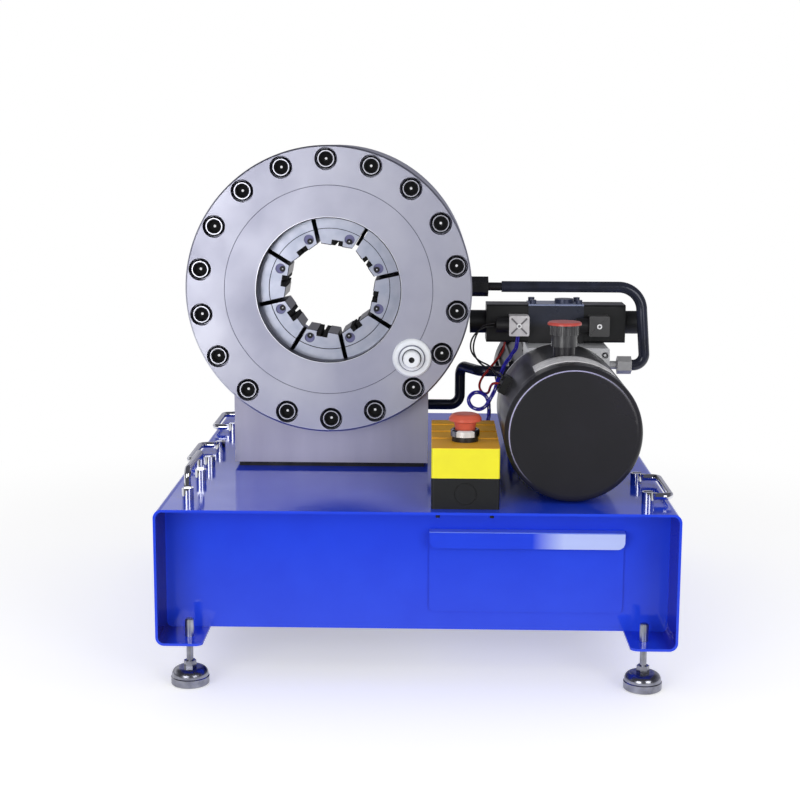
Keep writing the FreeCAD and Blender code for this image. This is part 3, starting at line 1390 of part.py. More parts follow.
def pipe_fittings():
    """Hexagon nuts on nipples at the ring and the block, and the banjo under the housing."""
    nut_end = S.nut_length + S.nut_overlap
    ring_nut = hexagon("ring_nut", S.nut_across, (RING_SIDE, PORT_Y, HEAD[2]), nut_end, "X")
    ring_pipe = rod("ring_nipple", S.nipple_radius, (RING_SIDE - S.port_depth, PORT_Y, HEAD[2]),
                    S.port_depth + nut_end + S.nipple_length, "X")
    block_nut = hexagon("block_nut", S.block_nut_across, (BLOCK_RIGHT + S.block_nut_start, PORT_Y, PORT_Z),
                        S.block_nut_length, "X")
    block_pipe = rod("block_nipple", S.nipple_radius, (BLOCK_RIGHT - S.port_depth, PORT_Y, PORT_Z),
                     S.port_depth + S.block_nut_start, "X")
    return_nut = hexagon("return_nut", S.nut_across,
                         (BLOCK_LEFT - S.nut_length, RETURN_END_Y, RETURN_TOP_Z), S.nut_length, "X")
    low = RETURN_Z - S.banjo_drop
    banjo = rod("banjo_bolt", S.banjo_radius, (S.banjo_x, RETURN_Y, low), S.banjo_height, "Z")
    seat = rod("banjo_seat", S.ring_radius + S.stud_play, (HEAD[0], RETURN_Y - S.banjo_height, HEAD[2]),
               2 * S.banjo_height, "Y")
    head = hexagon("banjo_hexagon", S.nut_across, (S.banjo_x, RETURN_Y, low - S.banjo_head),
                   S.banjo_head, "Z")
    notch = rod("banjo_notch", S.tube_radius, (S.banjo_x + S.banjo_radius, RETURN_Y, RETURN_Z),
                S.banjo_radius, "X")
    return keep(group(
        "pipe_fittings", merge("ring_fitting", ring_nut, ring_pipe),
        merge("block_fitting", block_nut, block_pipe), return_nut,
        cut("banjo", merge("banjo_whole", banjo, head), seat, notch)))


# Leads: their points are chosen by hand along the way they hang, in millimetres.
LEADS = {
    "control_cable": (2.2, [
        (127, -47, 383.9), (127, -47, 372), (121, -61, 363), (113, -79, 357), (104, -95, 343),
        (97, -105, 325), (90, -108, 308), (79, -107, 296), (67, -105, 298), (62, -102, 309),
        (70, -99, 319), (83, -97, 316), (90, -96, 302), (89, -97, 285), (84, -98, 267),
        (78, -96, 251), (75, -101, 237), (75, -106, 234), (75, -116.4, 234)]),
    "coil_lead": (2.5, [
        (98.9, -45.5, 397), (86, -45.5, 397), (75, -48, 389), (68, -51, 376), (68, -55, 363),
        (76, -60, 352), (88, -70, 346), (96, -86, 343), (100, -104, 341), (105, -120, 341.8),
        (107.1, -134, 341.8), (107.1, -147.9, 341.8)]),
    "red_lead": (1.6, [
        (112, -10, 372.9), (112, -10, 362), (103, -20, 350), (91, -30, 337), (81, -42, 327),
        (77, -56, 318), (82, -70, 311), (89, -85, 314), (90.5, -100, 326), (94, -119, 333),
        (102.8, -133, 333.5), (102.8, -147.9, 333.5)]),
}


def terminal_entry(angle):
    """The place on the terminal block's rear face where a lead enters it."""
    reach = S.tank_radius + S.terminal_height / 2
    return vector(UNIT[0] + reach * cosine(angle), UNIT[1] + S.terminal_setback + S.terminal_length / 2,
                  UNIT[2] + reach * sine(angle))


# The two places each lead joins.
LEAD_ENDS = {
    "control_cable": (
        vector(VALVE_LEFT - S.plug_size / 2, VALVE_Y - S.valve_depth / 2 - S.plug_depth / 2,
               PLUG_Z - S.plug_size / 2),
        vector(S.box_left + S.box_width * 0.75, BOX_BACK + S.box_gland_length,
               TABLE_TOP + S.box_base_height / 2)),
    "coil_lead": (
        vector(VALVE_LEFT - S.plug_size - S.gland_length, VALVE_Y - S.valve_depth / 2 - S.plug_depth / 2 + 1,
               PLUG_Z),
        terminal_entry(149)),
    "red_lead": (
        vector(VALVE_LEFT - S.coil_length / 2, VALVE_Y, BLOCK_TOP + 1),
        terminal_entry(155.3)),
}


def leads():
    """Each lead's points are moved along with its two ends, by a share that grows from end to end."""
    for name, (radius, route) in LEADS.items():
        start, end = LEAD_ENDS[name]
        last = len(route) - 1
        shifts = start - Vector(*route[0]), end - Vector(*route[-1])
        points = [Vector(*point) + shifts[0] * (1 - k / last) + shifts[1] * (k / last)
                  for k, point in enumerate(route)]
        radii = []
        for before, corner, after in zip(points, points[1:], points[2:]):
            shorter = min((corner - before).Length, (after - corner).Length)
            turn = (corner - before).getAngle(after - corner)
            radii.append(0.45 * shorter / math.tan(turn / 2))
        wire = path_through(points, radii)
        print(f"{name}: length {wire.Length:.0f}, radii {[round(radius_) for radius_ in radii]}")
        keep(shaped(name, tube_shape(wire, radius)))


base_shell()
wall("front_panel", WALL_FRONT, WALL_FRONT + S.sheet,
     rectangle((TRAY_LEFT - S.drawer_play, TRAY_RIGHT + S.drawer_play),
               (TRAY_BOTTOM - S.drawer_play, TRAY_TOP + S.drawer_play)))
wall("rear_panel", HALF_DEPTH - S.wall_recess - S.sheet, HALF_DEPTH - S.wall_recess)
drawer_front()
drawer_tray()
drawer_runners()
for foot, (foot_side, foot_end) in enumerate(((-1, -1), (1, -1), (1, 1), (-1, 1)), start=1):
    levelling_foot(foot, foot_side, foot_end)
foot_nuts()
handle_bosses()
handle_bails()
control_box_base()
control_box_lid()
emergency_stop()
ring_housing()
front_cover()
cover_insert()
cover_bolts()
master_dies()
annular_piston()
dial()
pedestal()
oil_tank()
filler()
manifold()
valve()
motor()
unit_brackets()
gear_pump()
terminal_block()
tubes()
pipe_fittings()
leads()
doc.recompute()

faults = [thing.Label for thing in doc.Objects if {"Invalid", "Error"} & set(thing.State)]
for thing in NODES:
    if thing.Shape.isNull() or not thing.Shape.isValid() or not thing.Shape.Solids:
        faults.append(thing.Label + " shape")
if faults:
    raise RuntimeError("failed: " + ", ".join(faults))

os.makedirs("parts", exist_ok=True)
for thing in NODES:
    thing.Shape.exportStep(f"parts/{thing.Label}.step")
print(len(NODES), "pieces,", sum(len(thing.Shape.Solids) for thing in NODES), "solids")
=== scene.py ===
import math

import bpy
import numpy as np
from mathutils import Matrix, Vector


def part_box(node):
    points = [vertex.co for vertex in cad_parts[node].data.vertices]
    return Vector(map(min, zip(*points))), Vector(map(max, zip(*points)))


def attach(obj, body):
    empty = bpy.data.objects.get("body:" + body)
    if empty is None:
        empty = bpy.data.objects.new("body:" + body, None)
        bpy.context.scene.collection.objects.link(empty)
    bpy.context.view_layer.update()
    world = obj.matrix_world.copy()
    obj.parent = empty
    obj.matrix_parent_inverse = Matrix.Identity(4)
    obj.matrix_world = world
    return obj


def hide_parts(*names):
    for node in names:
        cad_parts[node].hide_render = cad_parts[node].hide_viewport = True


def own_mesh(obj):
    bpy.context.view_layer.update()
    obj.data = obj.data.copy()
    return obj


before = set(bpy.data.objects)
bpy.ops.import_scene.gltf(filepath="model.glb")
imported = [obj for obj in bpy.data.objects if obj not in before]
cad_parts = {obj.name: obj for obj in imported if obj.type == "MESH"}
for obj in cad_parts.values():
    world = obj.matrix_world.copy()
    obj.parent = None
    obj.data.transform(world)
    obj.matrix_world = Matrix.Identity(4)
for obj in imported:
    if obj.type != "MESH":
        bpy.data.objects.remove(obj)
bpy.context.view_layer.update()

# Camera: it stands two metres in front of the machine, just above the head, and looks down by 9.5 degrees.
# Its place, lens and shift come from the table's edges in the 800 pixel photograph.
PHOTO_PIXELS = 800
SENSOR_MM = 36.0
FOCAL_PIXELS = 1535.4
AXIS_PIXEL_X = 390.2
CAMERA_PLACE = Vector((0.0143, -2.0169, 0.6278))
PITCH, YAW, ROLL = 0.1658, -0.0262, 0.0033

forward = Vector((math.sin(YAW) * math.cos(PITCH), math.cos(YAW) * math.cos(PITCH), -math.sin(PITCH)))
level_right = Vector((math.cos(YAW), -math.sin(YAW), 0))
level_up = level_right.cross(forward)
right = math.cos(ROLL) * level_right + math.sin(ROLL) * level_up
upward = math.cos(ROLL) * level_up - math.sin(ROLL) * level_right
facing = Matrix((right, upward, -forward)).transposed().to_4x4()

lens = bpy.data.cameras.new("camera")
lens.sensor_width = SENSOR_MM
lens.lens = FOCAL_PIXELS / PHOTO_PIXELS * SENSOR_MM
lens.shift_x = (PHOTO_PIXELS / 2 - AXIS_PIXEL_X) / PHOTO_PIXELS
camera = bpy.data.objects.new("camera", lens)
camera.matrix_world = Matrix.Translation(CAMERA_PLACE) @ facing
bpy.context.scene.collection.objects.link(camera)
bpy.context.scene.camera = camera
bpy.context.scene.view_settings.view_transform = "Standard"


# Studio: a white paper sweep under and behind the machine, and a soft light in front on each side, the left
# one stronger. Metal and enamel mirror a dim room and the sweep, which is white behind the machine and dim
# in front.
def linear(colour):
    """sRGB hex to linear: c / 12.92 up to 0.04045, and ((c + 0.055) / 1.055) to the power 2.4 above it."""
    parts = np.array([int(colour[place:place + 2], 16) for place in (1, 3, 5)]) / 255
    curve = np.where(parts <= 0.04045, parts / 12.92, ((parts + 0.055) / 1.055) ** 2.4)
    return (*curve.tolist(), 1.0)


def add(tree, kind, inputs=None, **settings):
    """Adds one node. Each input is a number or colour to set, or a node or one of its outputs to link."""
    made = tree.nodes.new("ShaderNode" + kind)
    for name, value in settings.items():
        setattr(made, name, value)
    for socket, value in (inputs or {}).items():
        if isinstance(value, bpy.types.Node):
            value = value.outputs[0]
        if isinstance(value, bpy.types.NodeSocket):
            tree.links.new(value, made.inputs[socket])
        else:
            made.inputs[socket].default_value = value
    return made


def surface(name, points, wrap=False, ends=False):
    """A mesh from a grid of points: each cell between two rows and two columns is one face.

    With wrap the last column joins the first, and with ends a face closes the first row and the last.
    """
    rows, columns = points.shape[:2]
    number = np.arange(rows * columns).reshape(rows, columns)
    if wrap:
        number = np.hstack([number, number[:, :1]])
    faces = np.stack([number[:-1, :-1], number[:-1, 1:], number[1:, 1:], number[1:, :-1]], axis=-1)
    faces = faces.reshape(-1, 4).tolist()
    if ends:
        faces += [number[0, columns - 1::-1].tolist(), number[-1, :columns].tolist()]
    mesh = bpy.data.meshes.new(name)
    mesh.from_pydata(points.reshape(-1, 3).tolist(), [], faces)
    mesh.shade_smooth()
    made = bpy.data.objects.new(name, mesh)
    bpy.context.scene.collection.objects.link(made)
    return made


def seen_and_mirrored(tree):
    """1 where the camera sees a thing itself, also through glass, and 1 where another surface mirrors it."""
    path = add(tree, "LightPath").outputs
    seen = add(tree, "Math", {0: path["Is Camera Ray"], 1: path["Is Transmission Ray"]}, operation="MAXIMUM")
    return seen, path["Is Glossy Ray"]


FLOOR_REACH = 6.0
FLOOR_DROP = 0.0004
FLOOR_SHADE_REACH = 0.75
FLOOR_FADE = 0.5
FLOOR_LIFT = 0.42
MIRRORED_FROM, MIRRORED_TO = -0.9, -0.2
MIRRORED_DIM = 0.10
DIM_FROM, DIM_TO = -0.34, -0.42

span = np.linspace(-FLOOR_REACH, FLOOR_REACH, 3)
grid_x, grid_y = np.meshgrid(span, span)
floor = surface("floor", np.dstack([grid_x, grid_y, np.full_like(grid_x, -FLOOR_DROP)]))

# White paper sweep: matt near the machine, where it takes the shadow, and pure white further out.
paper = bpy.data.materials.new("white_paper_sweep")
paper.use_nodes = True
tree = paper.node_tree
tree.nodes.clear()
place = add(tree, "TexCoord").outputs["Object"]
reach = add(tree, "VectorMath", {0: place}, operation="LENGTH").outputs["Value"]
fade = add(tree, "MapRange", {"Value": reach, "From Min": FLOOR_SHADE_REACH,
                              "From Max": FLOOR_SHADE_REACH + FLOOR_FADE}, interpolation_type="SMOOTHSTEP")
plain = add(tree, "BsdfDiffuse", {"Color": linear("#f4f4f4")})
lift = add(tree, "Emission", {"Color": linear("#ffffff"), "Strength": FLOOR_LIFT})
lifted = add(tree, "AddShader", {0: plain, 1: lift})
white = add(tree, "Emission", {"Color": linear("#ffffff"), "Strength": 1.0})
seen_paper = add(tree, "MixShader", {0: fade, 1: lifted, 2: white})

# In a mirror the sweep is white behind the machine, and dim in front, where the dark studio shades it.
depth = add(tree, "SeparateXYZ", {0: place}).outputs["Y"]
paleness = add(tree, "MapRange", {"Value": depth, "From Min": MIRRORED_FROM, "From Max": MIRRORED_TO,
                                  "To Min": MIRRORED_DIM, "To Max": 1.0})
dim = add(tree, "Emission", {"Color": linear("#ffffff"), "Strength": paleness})
in_front = add(tree, "MapRange", {"Value": depth, "From Min": DIM_FROM, "From Max": DIM_TO})
outside = add(tree, "Math", {0: fade, 1: in_front}, operation="MAXIMUM")
mirrored_paper = add(tree, "MixShader", {0: outside, 1: lifted, 2: dim})
seen, mirrored = seen_and_mirrored(tree)
unseen = add(tree, "MixShader", {0: mirrored, 1: plain, 2: mirrored_paper})
add(tree, "OutputMaterial", {0: add(tree, "MixShader", {0: seen, 1: unseen, 2: seen_paper})})
floor.data.materials.append(paper)

# The room is dark, and pale low down behind the machine. Heights and depths are parts of a direction of
# length 1.
ROOM_HEIGHTS = (0.30, 0.62)
ROOM_DEPTHS = (-0.25, 0.35)
ROOM_DARK = "#58585f"
ROOM_BACKDROP = "#aaaab4"
ROOM_STRENGTH = 0.56

room = bpy.data.worlds.new("studio_room")
bpy.context.scene.world = room
room.use_nodes = True
tree = room.node_tree
tree.nodes.clear()
towards = add(tree, "SeparateXYZ", {0: add(tree, "TexCoord").outputs["Generated"]}).outputs
low_down = add(tree, "MapRange", {"Value": towards["Z"], "From Min": ROOM_HEIGHTS[0],
                                  "From Max": ROOM_HEIGHTS[1], "To Min": 1.0, "To Max": 0.0})
behind = add(tree, "MapRange", {"Value": towards["Y"], "From Min": ROOM_DEPTHS[0],
                                "From Max": ROOM_DEPTHS[1]})
pale = add(tree, "Math", {0: low_down, 1: behind}, operation="MULTIPLY")
walls = add(tree, "Mix", {0: pale, 6: linear(ROOM_DARK), 7: linear(ROOM_BACKDROP)}, data_type="RGBA")

# A white screen stands far behind on the left, and shows in the enamel of the table top.
SCREEN_SIDE = (-0.113, -0.123)
SCREEN_HEIGHTS = (0.20, 0.215)
beside = add(tree, "MapRange", {"Value": towards["X"], "From Min": SCREEN_SIDE[0],
                                "From Max": SCREEN_SIDE[1]})
raised = add(tree, "MapRange", {"Value": towards["Z"], "From Min": SCREEN_HEIGHTS[0],
                                "From Max": SCREEN_HEIGHTS[1]})
screen = add(tree, "Math", {0: beside, 1: raised}, operation="MULTIPLY")
screen = add(tree, "Math", {0: screen, 1: pale}, operation="MULTIPLY")
walls = add(tree, "Mix", {0: screen, 6: walls.outputs[2], 7: linear("#ffffff")}, data_type="RGBA")
mirrored_room = add(tree, "Background", {"Color": walls.outputs[2], "Strength": 1.0})
diffused = add(tree, "Background", {"Color": linear("#ffffff"), "Strength": ROOM_STRENGTH})
backdrop = add(tree, "Background", {"Color": linear("#ffffff"), "Strength": 1.0})
seen, mirrored = seen_and_mirrored(tree)
lit = add(tree, "MixShader", {0: mirrored, 1: diffused, 2: mirrored_room})
add(tree, "OutputWorld", {0: add(tree, "MixShader", {0: seen, 1: lit, 2: backdrop})})

# Each lamp: width and height in metres, watts, and where it stands. All look at the middle of the machine.
LAMPS = {
    "front_left_softbox": (1.2, 1.2, 22, (-1.05, -2.45, 0.6)),
    "front_right_softbox": (1.0, 1.2, 15, (1.3, -2.2, 0.8)),
}
LAMP_AIM = Vector((0, 0, 0.3))
for name, (width, height, watts, stand) in LAMPS.items():
    lamp = bpy.data.lights.new(name, "AREA")
    lamp.shape = "RECTANGLE"
    lamp.size, lamp.size_y = width, height
    lamp.energy = watts
    holder = bpy.data.objects.new(name, lamp)
    holder.location = stand
    holder.rotation_euler = (LAMP_AIM - Vector(stand)).to_track_quat("-Z", "Y").to_euler()
    bpy.context.scene.collection.objects.link(holder)


# Table: one folded sheet of steel with a set-back wall front and rear, and a drawer of the same sheet.
# It is sprayed with glossy blue enamel, which mirrors the backdrop where it is seen at a low angle.
def finish(name, light, dark, metallic, roughness, patch_mm, grain_mm, grain_depth_mm,
           spread=0.04, stretch=(1, 1, 1)):
    """A material whose colour and gloss drift from dark to light over patches, with a fine grain in its bump.

    Both patterns are noise on object coordinates, which are in metres, so a scale is 1000 over a size in
    millimetres. A grain finer than 0.4 mm wouldn't show, so finer ones are drawn that coarse.
    """
    made = bpy.data.materials.new(name)
    made.use_nodes = True
    tree = made.node_tree
    shader = tree.nodes["Principled BSDF"]
    place = add(tree, "Mapping", {0: add(tree, "TexCoord").outputs["Object"], "Scale": stretch})
    patches = add(tree, "TexNoise", {"Vector": place, "Scale": 1000 / patch_mm, "Detail": 4.0})
    share = add(tree, "MapRange", {"Value": patches, "From Min": 0.3, "From Max": 0.7})
    colour = add(tree, "Mix", {0: share, 6: linear(dark), 7: linear(light)}, data_type="RGBA")
    rough = add(tree, "MapRange", {"Value": share, "To Min": roughness + spread,
                                   "To Max": roughness - spread})
    grain = add(tree, "TexNoise", {"Vector": place, "Scale": 1000 / grain_mm, "Detail": 2.0})
    bump = add(tree, "Bump", {"Height": grain, "Strength": 1.0, "Distance": grain_depth_mm / 1000})
    tree.links.new(colour.outputs[2], shader.inputs["Base Color"])
    tree.links.new(rough.outputs[0], shader.inputs["Roughness"])
    tree.links.new(bump.outputs[0], shader.inputs["Normal"])
    shader.inputs["Metallic"].default_value = metallic
    return made


def overlay(made, mask, colour, metallic=None, roughness=None):
    """Lays another finish over a material where the mask is 1."""
    tree = made.node_tree
    shader = tree.nodes["Principled BSDF"]
    wanted = {"Base Color": linear(colour), "Metallic": metallic, "Roughness": roughness}
    for name, value in wanted.items():
        if value is None:
            continue
        socket = shader.inputs[name]
        under = socket.links[0].from_socket if socket.links else socket.default_value
        if name == "Base Color":
            mixed = add(tree, "Mix", {0: mask, 6: under, 7: value}, data_type="RGBA").outputs[2]
        else:
            mixed = add(tree, "Mix", {0: mask, 2: under, 3: value}).outputs[0]
        tree.links.new(mixed, socket)


def within(tree, value, low, high):
    """1 where a value lies from low to high, and 0 elsewhere."""
    return add(tree, "Math", {0: value, 1: (low + high) / 2, 2: (high - low) / 2}, operation="COMPARE")


def both(tree, *masks):
    """1 where all masks are 1."""
    joined = masks[0]
    for mask in masks[1:]:
        joined = add(tree, "Math", {0: joined, 1: mask}, operation="MULTIPLY")
    return joined


def far_from(tree, place, centre, across=(1, 1, 1)):
    """The distance of a place from a centre, with the axes left out that across sets to 0."""
    offset = add(tree, "VectorMath", {0: place, 1: centre}, operation="SUBTRACT")
    flat = add(tree, "VectorMath", {0: offset, 1: across}, operation="MULTIPLY")
    return add(tree, "VectorMath", {0: flat}, operation="LENGTH").outputs["Value"]


def object_place(made):
    """A material's tree, its object coordinates, and those apart as X, Y and Z in metres."""
    tree = made.node_tree
    place = add(tree, "TexCoord").outputs["Object"]
    return tree, place, add(tree, "SeparateXYZ", {0: place}).outputs


def coat(made, *names):
    """Gives CAD nodes their finish."""
    for name in names:
        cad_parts[name].material_slots[0].material = made


FRONT_VIEW = (1, 0, 1)
ENAMEL_IOR = 1.5


def blue_enamel(name):
    """Stoved enamel, sprayed: the gloss film runs smooth, with an orange peel of 2.2 mm that barely shows."""
    made = finish(name, "#2749e2", "#2444dc", metallic=0.0, roughness=0.10, patch_mm=60, grain_mm=2.2,
                  grain_depth_mm=0.004, spread=0.02)
    made.node_tree.nodes["Principled BSDF"].inputs["IOR"].default_value = ENAMEL_IOR
    return made


coat(blue_enamel("blue_stoved_enamel"), "front_panel", "rear_panel", "drawer_tray")

# Inside the front flanges the enamel is painted darker towards the fold, more on the left: painted shade.
FOLD_SHADE_COLOURS = {-1.0: "#2a2166", 1.0: "#2a2aa8"}
FOLD_FADE = (0.024, 0.0035)
SHEET_SKIN = 0.0024
SHEET_BEND = 0.010
EDGE_MARGIN, WALL_MARGIN = 0.0003, 0.002
table_low, table_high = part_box("base_shell")
wall_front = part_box("front_panel")[0][1]
shell_enamel = blue_enamel("blue_enamel_fold_shade")
tree, _, parts = object_place(shell_enamel)
below_bend = add(tree, "Math", {0: parts["Z"], 1: table_high[2] - SHEET_BEND}, operation="LESS_THAN")
before_wall = within(tree, parts["Y"], table_low[1] + EDGE_MARGIN, wall_front - WALL_MARGIN)
for side, colour in FOLD_SHADE_COLOURS.items():
    outward = add(tree, "Math", {0: parts["X"], 1: side}, operation="MULTIPLY")
    fold = add(tree, "MapRange", {"Value": outward, "From Min": table_high[0] - FOLD_FADE[0],
                                  "From Max": table_high[0] - FOLD_FADE[1]})
    inner = add(tree, "Math", {0: outward, 1: table_high[0] - SHEET_SKIN}, operation="LESS_THAN")
    overlay(shell_enamel, both(tree, fold, inner, below_bend, before_wall), colour)
coat(shell_enamel, "base_shell")

# Painted highlights on the drawer's grip strip: pale towards the right end, and bright along the upper edge.
STRIP_HEIGHT = 0.0195
STRIP_EDGE_HIGHLIGHT = 0.001
STRIP_HIGHLIGHT_SPAN = (0.135, 0.172)
STRIP_MARGIN = 0.0001
strip_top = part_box("drawer_front")[1][2]
drawer_enamel = blue_enamel("blue_enamel_painted_highlight")
tree, _, parts = object_place(drawer_enamel)
strip_highlight_share = add(tree, "MapRange", {"Value": parts["X"], "From Min": STRIP_HIGHLIGHT_SPAN[0], "From Max": STRIP_HIGHLIGHT_SPAN[1]})
strip = within(tree, parts["Z"], strip_top - STRIP_HEIGHT, strip_top + STRIP_MARGIN)
strip_edge_highlight = within(tree, parts["Z"], strip_top - STRIP_EDGE_HIGHLIGHT, strip_top + STRIP_MARGIN)
overlay(drawer_enamel, both(tree, strip_highlight_share, strip), "#bcc9f5")
overlay(drawer_enamel, strip_edge_highlight, "#7f9bf2")
coat(drawer_enamel, "drawer_front")

# Zinc plate on pressed sheet and nuts: a fine spangle with a faint blue tint.
zinc_plate = finish("zinc_plate", "#c9ccd2", "#a9adb6", metallic=1.0, roughness=0.32, patch_mm=8,
                    grain_mm=0.5, grain_depth_mm=0.004)
coat(zinc_plate, "drawer_runners", "foot_nuts")


# Levelling feet: a turned steel pad on a ball, a hexagon neck and a stud that runs through the flange.
# All are nickel plated, which gives a grey mirror, blurred by the turning marks.
foot_plate = finish("nickel_plate_turned", "#a3a4ad", "#7d7e88", metallic=1.0, roughness=0.24, patch_mm=14,
                    grain_mm=0.4, grain_depth_mm=0.002)
coat(foot_plate, *[f"levelling_foot_{number}" for number in range(1, 5)])


# Handles: turned bosses and bent round bars, chromium plated and polished, which mirror all around them.
chrome = finish("polished_chromium_plate", "#e3e4ea", "#d2d3db", metallic=1.0, roughness=0.06, patch_mm=20,
                grain_mm=3.0, grain_depth_mm=0.002, spread=0.02)
coat(chrome, "handle_bosses", *[f"handle_bail_{number}" for number in range(1, 6)])


# Control box: a moulded black base, a moulded yellow lid with lands across it, and the emergency stop,
# which has a chromed bezel and a red mushroom head. A fine eroded grain on each moulding breaks its gloss.

# The lid's top is painted a deeper, golden yellow as shade, where the light falls at a low angle.
LAND_HEIGHT = 0.0014
lid_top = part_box("control_box_lid")[1][2]
yellow_abs = finish("yellow_abs_moulded", "#efe722", "#e8df1e", metallic=0.0, roughness=0.36, patch_mm=30,
                    grain_mm=0.5, grain_depth_mm=0.012)
tree, _, parts = object_place(yellow_abs)
lid_top_shade = add(tree, "Math", {0: parts["Z"], 1: lid_top - LAND_HEIGHT}, operation="GREATER_THAN")
overlay(yellow_abs, lid_top_shade, "#e6a91e", 0.0, 0.55)
coat(yellow_abs, "control_box_lid")

# Black ABS is dull, because its grain scatters what it mirrors.
BLACK_ABS_SPECULAR = 0.35
black_abs = finish("black_abs_moulded", "#1f2022", "#191a1b", metallic=0.0, roughness=0.42, patch_mm=25,
                   grain_mm=0.5, grain_depth_mm=0.015)
black_abs.node_tree.nodes["Principled BSDF"].inputs["Specular IOR Level"].default_value = BLACK_ABS_SPECULAR
coat(black_abs, "control_box_base", "estop_stem", "terminal_block", "valve_coils")

# Red ABS has a smoother mould, and a soft highlight.
red_abs = finish("red_abs_moulded", "#d25e44", "#c25542", metallic=0.0, roughness=0.3, patch_mm=25,
                 grain_mm=0.6, grain_depth_mm=0.008)
coat(red_abs, "estop_head")

# The bezel is chromed die cast zinc with a painted highlight in front, and stands on a black rubber ring.
COLLAR_RING = 0.0051
COLLAR_HIGHLIGHT = 0.0035
collar_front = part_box("estop_collar")[0][1]
bezel_chrome = finish("chromed_bezel", "#8c8c92", "#77777e", metallic=1.0, roughness=0.2, patch_mm=20,
                      grain_mm=3.0, grain_depth_mm=0.002, spread=0.02)
tree, _, parts = object_place(bezel_chrome)
on_ring = add(tree, "Math", {0: parts["Z"], 1: lid_top + COLLAR_RING}, operation="LESS_THAN")
above_ring = add(tree, "Math", {0: parts["Z"], 1: lid_top + COLLAR_RING}, operation="GREATER_THAN")
in_front = add(tree, "Math", {0: parts["Y"], 1: collar_front + COLLAR_HIGHLIGHT}, operation="LESS_THAN")
overlay(bezel_chrome, on_ring, "#1c1c1e", 0.0, 0.35)
overlay(bezel_chrome, both(tree, above_ring, in_front), "#e4e4e6", 0.3, 0.3)
coat(bezel_chrome, "estop_collar")


# Crimping head: ring housing, cover ring and insert ring are turned from forged steel and left bare.
# Turning leaves fine rings round the axis, and oil and hands leave faint clouds.
cover_low, cover_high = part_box("front_cover")
head_centre = ((cover_low[0] + cover_high[0]) / 2, cover_low[1], (cover_low[2] + cover_high[2]) / 2)


def head_polar(tree, place):
    """Distance from the head's axis, angle about it, and the offset from its centre on the cover's front."""
    offset = add(tree, "VectorMath", {0: place, 1: head_centre}, operation="SUBTRACT")
    reach = far_from(tree, place, head_centre, FRONT_VIEW)
    parts = add(tree, "SeparateXYZ", {0: offset})
    angle = add(tree, "Math", {0: parts.outputs["Z"], 1: parts.outputs["X"]}, operation="ARCTAN2")
    return reach, angle.outputs[0], offset


# The turning feed is about 0.2 mm, too fine to show, so its rings are drawn 0.9 mm apart.
TURNING_MM = 0.9
TURNING_DEPTH = 0.00002


def turned_steel(name, light, dark, roughness):
    """Bare turned steel with rings round the head's axis.

    They are noise along one line, read at the distance from the axis plus the depth.
    """
    made = finish(name, light, dark, metallic=1.0, roughness=roughness, patch_mm=90, grain_mm=0.6,
                  grain_depth_mm=0.002, spread=0.05)
    shader = made.node_tree.nodes["Principled BSDF"]
    tree, place, _ = object_place(made)
    reach, _, offset = head_polar(tree, place)
    depth = add(tree, "SeparateXYZ", {0: offset}).outputs["Y"]
    along = add(tree, "Math", {0: reach, 1: depth}, operation="ADD")
    rings = add(tree, "TexNoise", {"W": along, "Scale": 1000 / TURNING_MM, "Detail": 2.0},
                noise_dimensions="1D")
    bump = add(tree, "Bump", {"Height": rings, "Strength": 1.0, "Distance": TURNING_DEPTH,
                              "Normal": shader.inputs["Normal"].links[0].from_socket})
    tree.links.new(bump.outputs[0], shader.inputs["Normal"])
    return made


ring_steel = turned_steel("turned_steel", "#c4c5d3", "#b1b2c4", 0.44)
coat(ring_steel, "ring_housing", "front_cover", "annular_piston", "stop_rod")

# The insert's mouth is painted dark as shade, with a painted dark line of shade and then a painted highlight
# on the rim of its face. Its joint with the cover is a dark line.
MOUTH_RADIUS = 0.089
MOUTH_MARGIN = 0.0001
MOUTH_RIM = 0.0009
JOINT_RADIUS = 0.1294
JOINT_LINE = 0.0009
insert_steel = turned_steel("turned_insert_steel", "#c2c3d2", "#aeafc2", 0.44)
tree, place, _ = object_place(insert_steel)
reach, _, _ = head_polar(tree, place)
mouth_rim_highlight = within(tree, reach, MOUTH_RADIUS + MOUTH_RIM, MOUTH_RADIUS + 2 * MOUTH_RIM)
mouth_rim_shade = within(tree, reach, MOUTH_RADIUS, MOUTH_RADIUS + MOUTH_RIM)
joint = within(tree, reach, JOINT_RADIUS - JOINT_LINE, JOINT_RADIUS + JOINT_LINE)
mouth_shade = add(tree, "Math", {0: reach, 1: MOUTH_RADIUS + MOUTH_MARGIN}, operation="LESS_THAN")
# Painted highlight and painted shade round the mouth, and painted shade inside it.
overlay(insert_steel, mouth_rim_highlight, "#e8e9f2", 1.0, 0.3)
overlay(insert_steel, mouth_rim_shade, "#3c3c49", 0.6, 0.4)
overlay(insert_steel, joint, "#6f7083")
overlay(insert_steel, mouth_shade, "#3c3c49", 0.8, 0.4)
coat(insert_steel, "cover_insert")

# The piston's seals are moulded nitrile rubber, which is matt and nearly black.
nitrile_rubber = finish("nitrile_rubber", "#1b1b1c", "#151516", metallic=0.0, roughness=0.6, patch_mm=10,
                        grain_mm=0.6, grain_depth_mm=0.01)
coat(nitrile_rubber, "piston_seals")


# Cover screws: eighteen hexagon socket screws, blackened in hot salt. Each knurled head has a painted
# highlight ring, each socket is painted dark as shade, and a painted glint stands in each socket.
BOLT_CIRCLE = 0.161
BOLT_COUNT = 18
BOLT_START = math.radians(91)
HEAD_HIGHLIGHT_RING = (0.0090, 0.0102)
SOCKET_GLINT = 0.0016

